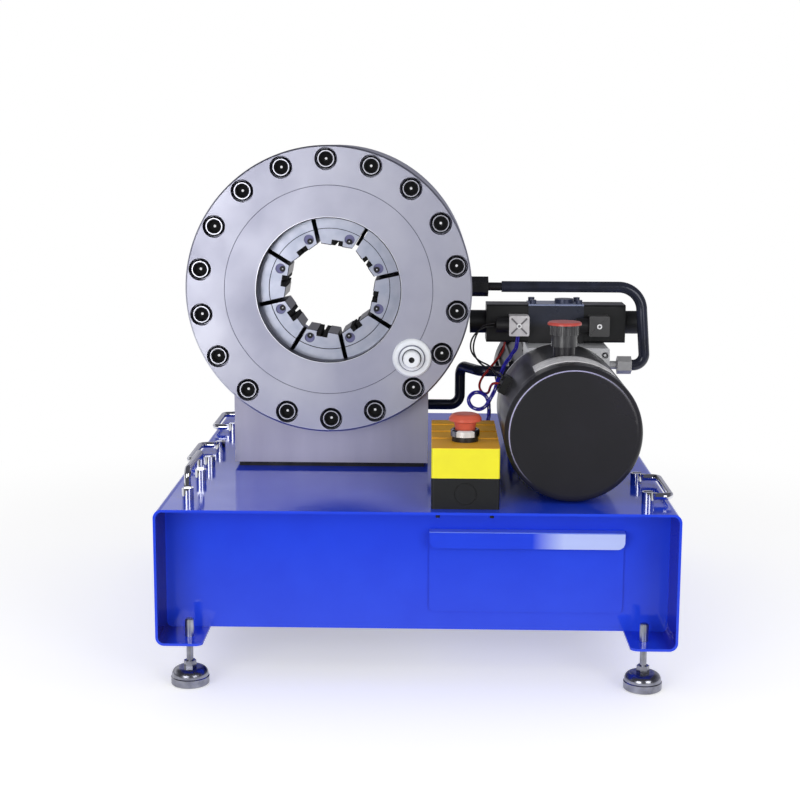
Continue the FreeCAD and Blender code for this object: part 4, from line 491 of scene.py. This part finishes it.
bolt_black = finish("black_oxide_screws", "#26262a", "#17171a", metallic=0.7, roughness=0.35, patch_mm=12,
                    grain_mm=0.5, grain_depth_mm=0.006)
tree, place, _ = object_place(bolt_black)
reach, angle, _ = head_polar(tree, place)
turn = add(tree, "Math", {0: angle, 1: BOLT_START}, operation="SUBTRACT")
half_step = math.pi / BOLT_COUNT
turn = add(tree, "Math", {0: turn, 1: half_step, 2: -half_step}, operation="WRAP")
sine = add(tree, "Math", {0: turn}, operation="SINE")
cosine = add(tree, "Math", {0: turn}, operation="COSINE")
beside = add(tree, "Math", {0: reach, 1: sine}, operation="MULTIPLY")
ahead = add(tree, "Math", {0: reach, 1: cosine}, operation="MULTIPLY")
ahead = add(tree, "Math", {0: ahead, 1: BOLT_CIRCLE}, operation="SUBTRACT")
local = add(tree, "CombineXYZ", {0: beside, 1: ahead})
from_bolt = add(tree, "VectorMath", {0: local}, operation="LENGTH").outputs["Value"]
socket = add(tree, "Math", {0: from_bolt, 1: HEAD_HIGHLIGHT_RING[0]}, operation="LESS_THAN")
painted_glint = add(tree, "Math", {0: from_bolt, 1: SOCKET_GLINT}, operation="LESS_THAN")
# Painted shade in each socket, a painted highlight ring on each head, and a painted glint.
overlay(bolt_black, socket, "#0f0f13", 0.0, 0.9)
overlay(bolt_black, within(tree, from_bolt, *HEAD_HIGHLIGHT_RING), "#cfd0db", 1.0, 0.34)
overlay(bolt_black, painted_glint, "#f2f2f6", 0.0, 0.3)
coat(bolt_black, "cover_bolts")


# Master dies: eight sectors of hardened steel, ground on the face, painted near black as shade between them
# and darker as shade on their bore faces. Each has a shallow step edged by a painted line of shade, a slot
# with two blackened clips, and a locking button with a painted glint in a round pocket painted dark as shade.
# Depths are from the cover's front. The places of lock and button are a die's own: outward, then sideways.
DIE_COUNT = 8
DIE_START = math.radians(35.5)
DIE_HALF_STEP = math.pi / DIE_COUNT
FACE_DEPTH = 0.0262
SHADE_DEPTH = 0.0223
BORE_SHADE_SKIN, SHADED_BORE_SKIN = 0.0549, 0.0552
STEP_SHADE_LINE = (0.0750, 0.0759)
CLIP_TOP, CLIP_HALF = 0.0611, 0.00705
LOCK_PLACE = (0.0646, -0.0146, 0)
LOCK_POCKET = 0.0063
BUTTON_PLACE = (0.062, -0.0146, 0)
BUTTON_RADIUS = 0.0036
BUTTON_GLINT = 0.0008

die_steel = finish("ground_die_steel", "#c0c3d3", "#aab0c3", metallic=1.0, roughness=0.36, patch_mm=18,
                   grain_mm=0.4, grain_depth_mm=0.004)
tree, place, _ = object_place(die_steel)
reach, angle, offset = head_polar(tree, place)
turn = add(tree, "Math", {0: angle, 1: DIE_START}, operation="SUBTRACT")
turn = add(tree, "Math", {0: turn, 1: DIE_HALF_STEP, 2: -DIE_HALF_STEP}, operation="WRAP")
sine = add(tree, "Math", {0: turn}, operation="SINE")
cosine = add(tree, "Math", {0: turn}, operation="COSINE")
outward = add(tree, "Math", {0: reach, 1: cosine}, operation="MULTIPLY")
sideways = add(tree, "Math", {0: reach, 1: sine}, operation="MULTIPLY")
local = add(tree, "CombineXYZ", {0: outward, 1: sideways})
depth = add(tree, "SeparateXYZ", {0: offset}).outputs["Y"]
front = add(tree, "Math", {0: depth, 1: FACE_DEPTH}, operation="LESS_THAN")
shaded = add(tree, "Math", {0: depth, 1: SHADE_DEPTH}, operation="GREATER_THAN")
bore_shade = add(tree, "Math", {0: outward, 1: BORE_SHADE_SKIN}, operation="LESS_THAN")
# Painted shade: dark on the bore faces, near black deep between the dies, and grey on the deep bore faces.
overlay(die_steel, bore_shade, "#3a3a46")
overlay(die_steel, shaded, "#17171c", 0.4, 0.4)
shaded_bore = add(tree, "Math", {0: outward, 1: SHADED_BORE_SKIN}, operation="LESS_THAN")
overlay(die_steel, both(tree, shaded, shaded_bore), "#6f6d70", 1.0, 0.4)
under_clips = add(tree, "Math", {0: outward, 1: CLIP_TOP}, operation="LESS_THAN")
clips = both(tree, under_clips, within(tree, sideways, -CLIP_HALF, CLIP_HALF))
overlay(die_steel, clips, "#0b0b0d", 0.0, 0.95)
# Painted shade along the step and in the lock pocket, and a painted glint on the button.
overlay(die_steel, both(tree, front, within(tree, reach, *STEP_SHADE_LINE)), "#2a2a3a")
pocket_shade = add(tree, "Math", {0: far_from(tree, local, LOCK_PLACE), 1: LOCK_POCKET}, operation="LESS_THAN")
overlay(die_steel, both(tree, front, pocket_shade), "#6f6f98", 0.4, 0.4)
from_button = far_from(tree, local, BUTTON_PLACE)
button = add(tree, "Math", {0: from_button, 1: BUTTON_RADIUS}, operation="LESS_THAN")
overlay(die_steel, both(tree, front, button), "#15151d", 0.2, 0.4)
overlay(die_steel, both(tree, front, within(tree, from_button, 0, BUTTON_GLINT)), "#d9d9e4", 0.0, 0.3)
coat(die_steel, *[f"master_die_{number}" for number in range(1, DIE_COUNT + 1)])

# Return springs: a short coil of blackened wire stands across each slit and pushes two dies apart. Each moves
# with one die; the slit closes from 5.4 mm to 0.46 mm.
SPRING_RADIUS = 0.0125
SPRING_WIRE = 0.0015
SPRING_REACH = 0.0745
SPRING_DEPTH = 0.057
SPRING_TURNS = 3
SPRING_CLEARANCE = 0.0004
SLIT_WIDTH = 0.0054


def wire_coil(name, centre, axis, radius, wire, length, turns, steps=90, sides=8):
    """A round wire along a helix: the turn angle grows with the way along the axis.

    A point of the section lies off the helix by the wire's radius, outward and along the axis in turn.
    """
    first = np.array([0.0, 1.0, 0.0])
    second = np.cross(axis, first)
    share = np.linspace(0, 1, steps)[:, None, None]
    round_wire = np.linspace(0, 2 * np.pi, sides, endpoint=False)[None, :, None]
    swing = share * turns * 2 * np.pi
    outward = np.cos(swing) * first + np.sin(swing) * second
    line = centre + radius * outward + (share - 0.5) * (length - wire) * axis
    skin = line + wire / 2 * (np.cos(round_wire) * outward + np.sin(round_wire) * axis)
    return surface(name, skin, wrap=True, ends=True)


# Oil-blackened spring wire: drawn smooth, with a dark metallic gloss.
spring_wire = finish("oiled_spring_wire", "#26262b", "#19191d", metallic=0.6, roughness=0.4, patch_mm=10,
                     grain_mm=0.5, grain_depth_mm=0.004)
for number in range(1, DIE_COUNT + 1):
    slit = DIE_START + (2 * number - 1) * DIE_HALF_STEP
    outward = np.array([math.cos(slit), 0, math.sin(slit)])
    across_slit = np.array([-math.sin(slit), 0, math.cos(slit)])
    middle = np.array(head_centre) + SPRING_REACH * outward + np.array([0, SPRING_DEPTH, 0])
    spring = wire_coil(f"die_spring_{number}", middle, across_slit, SPRING_RADIUS, SPRING_WIRE,
                       SLIT_WIDTH - SPRING_CLEARANCE, SPRING_TURNS)
    spring.data.materials.append(spring_wire)
    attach(spring, f"die_{number}")
    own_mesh(spring)


# Closing dial: an aluminium bezel and a turned thimble. Clear anodising over a fine matt etch makes them a
# silver that is almost white. Its grooves, the thimble's foot and the hole are painted dark as shade.
DIAL_GROOVE_SHADE = (0.0153, 0.0164)
DIAL_FOOT_SHADE = (0.0106, 0.0120)
DIAL_HOLE_SHADE = 0.0036
bezel_low, bezel_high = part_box("dial_bezel")
dial_place = ((bezel_low[0] + bezel_high[0]) / 2, 0, (bezel_low[2] + bezel_high[2]) / 2)
dial_silver = finish("silver_anodised_aluminium", "#f3f6fa", "#e8ecf2", metallic=0.05, roughness=0.35,
                     patch_mm=20, grain_mm=0.4, grain_depth_mm=0.004)
tree, place, _ = object_place(dial_silver)
from_dial = far_from(tree, place, dial_place, FRONT_VIEW)
# Painted shade in the grooves, at the thimble's foot and in the hole.
overlay(dial_silver, within(tree, from_dial, *DIAL_GROOVE_SHADE), "#7d7f92")
overlay(dial_silver, within(tree, from_dial, *DIAL_FOOT_SHADE), "#33333f")
overlay(dial_silver, within(tree, from_dial, 0, DIAL_HOLE_SHADE), "#0e0e12", 0.0, 0.5)
coat(dial_silver, "dial_bezel", "dial_thimble")


# Pedestal: a solid steel block, milled on its faces, with the saddle of the housing in its top. The cutter's
# paths draw the clouds out along its height. The plate under it is blackened in hot salt.
milled_steel = finish("milled_steel", "#bab8c6", "#a3a1b2", metallic=1.0, roughness=0.42, patch_mm=70,
                      grain_mm=0.8, grain_depth_mm=0.006, spread=0.05, stretch=(1, 1, 0.15))
coat(milled_steel, "head_pedestal")
black_oxide = finish("black_oxide_steel", "#2b2b30", "#1c1c20", metallic=0.7, roughness=0.38, patch_mm=12,
                     grain_mm=0.5, grain_depth_mm=0.006)
coat(black_oxide, "pedestal_plate")


# Power unit: a drawn steel oil tank in satin black paint, with its filler, on an aluminium manifold block.
# The tank's rounded rim has a painted highlight, and a painted highlight line on top stands for a bead behind
# it.
TANK_RADIUS = 0.080
SATIN_SPECULAR = 0.3


def satin_black(name, light, dark, roughness):
    """Satin black paint, sprayed: the matting agent in it keeps its gloss low."""
    made = finish(name, light, dark, metallic=0.0, roughness=roughness, patch_mm=80, grain_mm=1.4,
                  grain_depth_mm=0.004)
    made.node_tree.nodes["Principled BSDF"].inputs["Specular IOR Level"].default_value = SATIN_SPECULAR
    return made


unit_black = satin_black("satin_black_paint", "#2a292d", "#212124", 0.33)
coat(unit_black, "filler_neck", "motor_body", "fan_cowl", "unit_brackets")

# The painted highlight runs along the rim's upper left, and the bead's painted highlight line shows on top.
RIM_DEPTH = 0.008
RIM_HIGHLIGHT = (0.0736, 0.0749)
RIM_RIGHT_FADE = (0.195, 0.245)
RIM_FOOT_FADE = (0.240, 0.285)
BEAD_DEPTHS = (0.0265, 0.0285)
BEAD_FOOT = 0.352
tank_low, tank_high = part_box("oil_tank")
tank_axis = (tank_high[0] - TANK_RADIUS, 0, tank_high[2] - TANK_RADIUS)
tank_paint = satin_black("satin_black_tank_paint", "#2b2a2f", "#232326", 0.30)
tree, place, parts = object_place(tank_paint)
on_face = add(tree, "Math", {0: parts["Y"], 1: tank_low[1] + RIM_DEPTH}, operation="LESS_THAN")
on_left = add(tree, "MapRange", {"Value": parts["X"], "From Min": RIM_RIGHT_FADE[0],
                                 "From Max": RIM_RIGHT_FADE[1], "To Min": 1.0, "To Max": 0.0})
upper = add(tree, "MapRange", {"Value": parts["Z"], "From Min": RIM_FOOT_FADE[0],
                               "From Max": RIM_FOOT_FADE[1]})
tank_rim_highlight = within(tree, far_from(tree, place, tank_axis, FRONT_VIEW), *RIM_HIGHLIGHT)
overlay(tank_paint, both(tree, on_face, on_left, upper, tank_rim_highlight), "#9f9cc0")
bead_highlight = within(tree, parts["Y"], tank_low[1] + BEAD_DEPTHS[0], tank_low[1] + BEAD_DEPTHS[1])
bead_highlight_top = add(tree, "Math", {0: parts["Z"], 1: BEAD_FOOT}, operation="GREATER_THAN")
overlay(tank_paint, both(tree, bead_highlight, bead_highlight_top), "#85858a")
coat(tank_paint, "oil_tank")

# Label plate: bare aluminium foil, bent over the tank's top. It is creased, which breaks its white sheen.
LABEL_ANGLES = (math.radians(123), math.radians(52))
LABEL_DEPTHS = (-0.249, -0.200)
LABEL_RISE = 0.0003
LABEL_THICKNESS = 0.0004


def bent_plate(name, axis, radius, angles, depths, columns=40, rows=8):
    """A sheet bent round an axis along Y: the angle runs across the columns, and the depth along the rows."""
    angle = np.linspace(*angles, columns)[None, :]
    depth = np.linspace(*depths, rows)[:, None]
    sheet = np.stack([axis[0] + radius * np.cos(angle) + 0 * depth, depth + 0 * angle,
                      axis[2] + radius * np.sin(angle) + 0 * depth], axis=-1)
    return surface(name, sheet)


label = bent_plate("tank_label", tank_axis, TANK_RADIUS + LABEL_RISE, LABEL_ANGLES, LABEL_DEPTHS)
thicken = label.modifiers.new("sheet_thickness", "SOLIDIFY")
thicken.thickness = LABEL_THICKNESS
thicken.offset = 1.0
label_foil = finish("bare_aluminium_foil_plate", "#f6f5f7", "#c6c5ca", metallic=0.0, roughness=0.34,
                    patch_mm=7, grain_mm=0.8, grain_depth_mm=0.01)
label.data.materials.append(label_foil)
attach(label, "machine")

# Filler cap: moulded black nylon, glossier than the paint, with a red disc on top.
CAP_DISC = 0.0034
cap_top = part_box("filler_cap")[1][2]
cap_black = finish("black_nylon_cap", "#48484a", "#39393c", metallic=0.0, roughness=0.22, patch_mm=15,
                   grain_mm=0.5, grain_depth_mm=0.006)
tree, _, parts = object_place(cap_black)
disc = add(tree, "Math", {0: parts["Z"], 1: cap_top - CAP_DISC}, operation="GREATER_THAN")
overlay(cap_black, disc, "#c04e46", 0.0, 0.3)
coat(cap_black, "filler_cap")

# Manifold block and pump: milled aluminium, a pale even grey. The port plug's hole is painted as a dark ring
# of shade.
PORT_PLUG = (0.236, 0, 0.363)
PORT_SHADE_RING = (0.0018, 0.0043)
BLOCK_FRONT = -0.079
aluminium = finish("milled_aluminium", "#dfe0e3", "#cfd0d4", metallic=0.2, roughness=0.34, patch_mm=25,
                   grain_mm=0.6, grain_depth_mm=0.005)
tree, place, parts = object_place(aluminium)
on_front = add(tree, "Math", {0: parts["Y"], 1: BLOCK_FRONT}, operation="LESS_THAN")
ring = within(tree, far_from(tree, place, PORT_PLUG, FRONT_VIEW), *PORT_SHADE_RING)
overlay(aluminium, both(tree, on_front, ring), "#26262a", 0.3, 0.4)
coat(aluminium, "manifold_block", "gear_pump")

# Valve: a cast body in dark blue-grey paint, painted darker towards its foot as shade, with painted
# highlights on its top edge and top face, and blackened screws and cap on it.
VALVE_FRONT = -0.0325
VALVE_TOP = 0.4231
VALVE_EDGE_HIGHLIGHT = 0.0022
VALVE_LINE = (0.0004, 0.0003)
VALVE_SHADE_FADE = (0.392, 0.402)
valve_grey = finish("dark_grey_valve_paint", "#363a48", "#2e313d", metallic=0.2, roughness=0.3, patch_mm=25,
                    grain_mm=0.7, grain_depth_mm=0.008)
tree, _, parts = object_place(valve_grey)
low = add(tree, "MapRange", {"Value": parts["Z"], "From Min": VALVE_SHADE_FADE[0],
                             "From Max": VALVE_SHADE_FADE[1], "To Min": 1.0, "To Max": 0.0})
top_edge_highlight = within(tree, parts["Z"], VALVE_TOP - VALVE_EDGE_HIGHLIGHT, VALVE_TOP)
on_front = add(tree, "Math", {0: parts["Y"], 1: VALVE_FRONT}, operation="LESS_THAN")
top_face_highlight = within(tree, parts["Z"], VALVE_TOP - VALVE_LINE[0], VALVE_TOP + VALVE_LINE[1])
above_top = add(tree, "Math", {0: parts["Z"], 1: VALVE_TOP}, operation="GREATER_THAN")
# Painted shade low on the body, then painted highlights on the top edge and the top face.
overlay(valve_grey, low, "#272729")
overlay(valve_grey, both(tree, top_edge_highlight, on_front), "#97a1c2")
overlay(valve_grey, top_face_highlight, "#6b7390")
overlay(valve_grey, above_top, "#3a4058", 0.3, 0.35)
coat(valve_grey, "valve_body")

# Plugs: nylon, moulded matt, light grey on the left and dark grey on the right. Each has a pale screw and a
# dark gland.
PLUG_SPLIT = 0.18
LEFT_GLAND, RIGHT_GLAND = 0.1152, 0.2177
PLUG_RIBS = -0.0582
PLUG_MIDDLES = (0.128, 0.2305)
PLUG_HEIGHT = 0.397
SCREW_RING = (0.0016, 0.0034)
plug_grey = finish("grey_nylon_plug", "#d4d2d5", "#c4c2c6", metallic=0.0, roughness=0.45, patch_mm=10,
                   grain_mm=0.5, grain_depth_mm=0.01)
tree, place, parts = object_place(plug_grey)
at_right = add(tree, "Math", {0: parts["X"], 1: PLUG_SPLIT}, operation="GREATER_THAN")
ribs = add(tree, "Math", {0: parts["Y"], 1: PLUG_RIBS}, operation="LESS_THAN")
left_gland = add(tree, "Math", {0: parts["X"], 1: LEFT_GLAND}, operation="LESS_THAN")
overlay(plug_grey, ribs, "#6d6b70")
overlay(plug_grey, at_right, "#4e4e4f", 0.0, 0.3)
for middle in PLUG_MIDDLES:
    screw = within(tree, far_from(tree, place, (middle, 0, PLUG_HEIGHT), FRONT_VIEW), *SCREW_RING)
    overlay(plug_grey, both(tree, ribs, screw), "#eeeef0", 0.0, 0.4)
overlay(plug_grey, left_gland, "#1c1c1e")
overlay(plug_grey, within(tree, parts["X"], PLUG_SPLIT, RIGHT_GLAND), "#1c1c1e")
coat(plug_grey, "coil_plugs")

# The rotor behind the cowl's slots is bright turned steel.
rotor_steel = finish("bright_rotor_steel", "#b9bac0", "#9fa0a8", metallic=1.0, roughness=0.35, patch_mm=15,
                     grain_mm=0.5, grain_depth_mm=0.004)
coat(rotor_steel, "motor_rotor")


# Oil tubes: bent steel tube with a black phosphate coat, oiled to a blue-black gloss, and hexagon nuts in the
# same finish. The nut and the nipple at the block are zinc plated.
PLATED_NUT = {"X": (0.241, 0.2722), "Y": (-0.075, -0.045), "Z": (0.332, 0.366)}
tube_black = finish("black_phosphated_tube", "#303344", "#242732", metallic=0.2, roughness=0.2, patch_mm=15,
                    grain_mm=0.7, grain_depth_mm=0.004)
coat(tube_black, "pressure_tube", "return_tube")
fitting_black = finish("black_phosphated_fittings", "#232327", "#1a1a1d", metallic=0.2, roughness=0.28,
                       patch_mm=15, grain_mm=0.7, grain_depth_mm=0.005)
tree, _, parts = object_place(fitting_black)
plated = both(tree, *[within(tree, parts[axis], *span) for axis, span in PLATED_NUT.items()])
overlay(fitting_black, plated, "#b4b4b6", 0.35, 0.34)
coat(fitting_black, "pipe_fittings")

# Leads: thin PVC cores laid loose between the valve plugs, the terminal block and the control box. The cable
# has three blue cores and the black lead two, wound loosely round each other. Each lead: its slot, material,
# colour, width in metres, number of cores and route in millimetres.
LEADS = {
    "control_cable": ("blue_cable", "blue_pvc", "#2a22a8", 0.0044, 3, [
        (127, -47, 383.9), (127, -47, 372), (121, -61, 363), (113, -79, 357), (104, -95, 343),
        (97, -105, 325), (90, -108, 308), (79, -107, 296), (67, -105, 298), (62, -102, 309),
        (70, -99, 319), (83, -97, 316), (90, -96, 302), (89, -97, 285), (84, -98, 267), (78, -96, 251),
        (75, -101, 237), (75, -106, 234), (75, -116.4, 234)]),
    "coil_lead": ("black_cable", "black_pvc", "#19191b", 0.005, 2, [
        (98.9, -45.5, 397), (86, -45.5, 397), (75, -48, 389), (68, -51, 376), (68, -55, 363),
        (76, -60, 352), (88, -70, 346), (96, -86, 343), (100, -104, 341), (105, -120, 341.8),
        (107.1, -134, 341.8), (107.1, -147.9, 341.8)]),
    "red_lead": ("red_cable", "red_pvc", "#a82420", 0.0032, 1, [
        (112, -10, 372.9), (112, -10, 362), (103, -20, 350), (91, -30, 337), (81, -42, 327),
        (77, -56, 318), (82, -70, 311), (89, -85, 314), (90.5, -100, 326), (94, -119, 333),
        (102.8, -133, 333.5), (102.8, -147.9, 333.5)]),
}
CORE_PITCH = 0.075
CORE_RADIUS = 0.0011
CORE_SIDES = 10
FIRST_SIDE = (0.3, 0.9, 0.2)


def smooth_line(name, route):
    """The points of a NURBS line of order 3 that has the route's points as its control points."""
    line = bpy.data.curves.new(name + "_line", "CURVE")
    line.dimensions = "3D"
    line.resolution_u = 12
    spline = line.splines.new("NURBS")
    spline.points.add(len(route) - 1)
    metres = np.array(route) / 1000
    spline.points.foreach_set("co", np.hstack([metres, np.ones((len(route), 1))]).ravel())
    spline.order_u = 3
    spline.use_endpoint_u = True
    holder = bpy.data.objects.new(name + "_holder", line)
    bpy.context.scene.collection.objects.link(holder)
    mesh = bpy.data.meshes.new_from_object(holder)
    points = np.empty(len(mesh.vertices) * 3)
    mesh.vertices.foreach_get("co", points)
    bpy.data.objects.remove(holder)
    bpy.data.meshes.remove(mesh)
    bpy.data.curves.remove(line)
    return points.reshape(-1, 3)


def carried_sides(line):
    """Two directions across a line at each point, carried along it so that they never turn round it."""
    along = np.gradient(line, axis=0)
    along /= np.linalg.norm(along, axis=1, keepdims=True)
    side = np.cross(along[0], FIRST_SIDE)
    sides = []
    for direction in along:
        side = side - direction * (side @ direction)
        side /= np.linalg.norm(side)
        sides.append(side)
    sides = np.array(sides)
    return sides, np.cross(along, sides)


def cores(name, line, width, count):
    """A lead of round cores, each a mesh of its own. One core alone follows the line itself.

    Each core's middle winds round the line by its angle plus the way along it, and the points of its skin lie
    round that middle.
    """
    core = CORE_RADIUS if count > 1 else width / 2
    off = width / 2 - core / 2 if count > 1 else 0
    first, second = carried_sides(line)
    way = np.concatenate([[0], np.cumsum(np.linalg.norm(np.diff(line, axis=0), axis=1))])
    round_core = np.linspace(0, 2 * np.pi, CORE_SIDES, endpoint=False)[None, :, None]
    ring = np.cos(round_core) * first[:, None] + np.sin(round_core) * second[:, None]
    pieces = []
    for number in range(count):
        swing = (2 * np.pi * (number / count + way / CORE_PITCH))[:, None]
        middle = line + off * (np.cos(swing) * first + np.sin(swing) * second)
        skin = middle[:, None] + core * ring
        pieces.append(surface(f"{name}_core_{number + 1}", skin, wrap=True, ends=True))
    return pieces


# Soft PVC has a low even gloss, and one colour all through.
for name, (slot, pvc, colour, width, count, route) in LEADS.items():
    line = smooth_line(name, route)
    pieces = cores(name, line, width, count)
    lead = pieces[0]
    lead.name = name + "_sheath"
    with bpy.context.temp_override(active_object=lead, selected_editable_objects=pieces):
        bpy.ops.object.join()
    lead.data.materials.append(finish(pvc, colour, colour, metallic=0.0, roughness=0.35, patch_mm=20,
                                      grain_mm=0.8, grain_depth_mm=0.004))
    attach(lead, "machine")
    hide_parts(name)
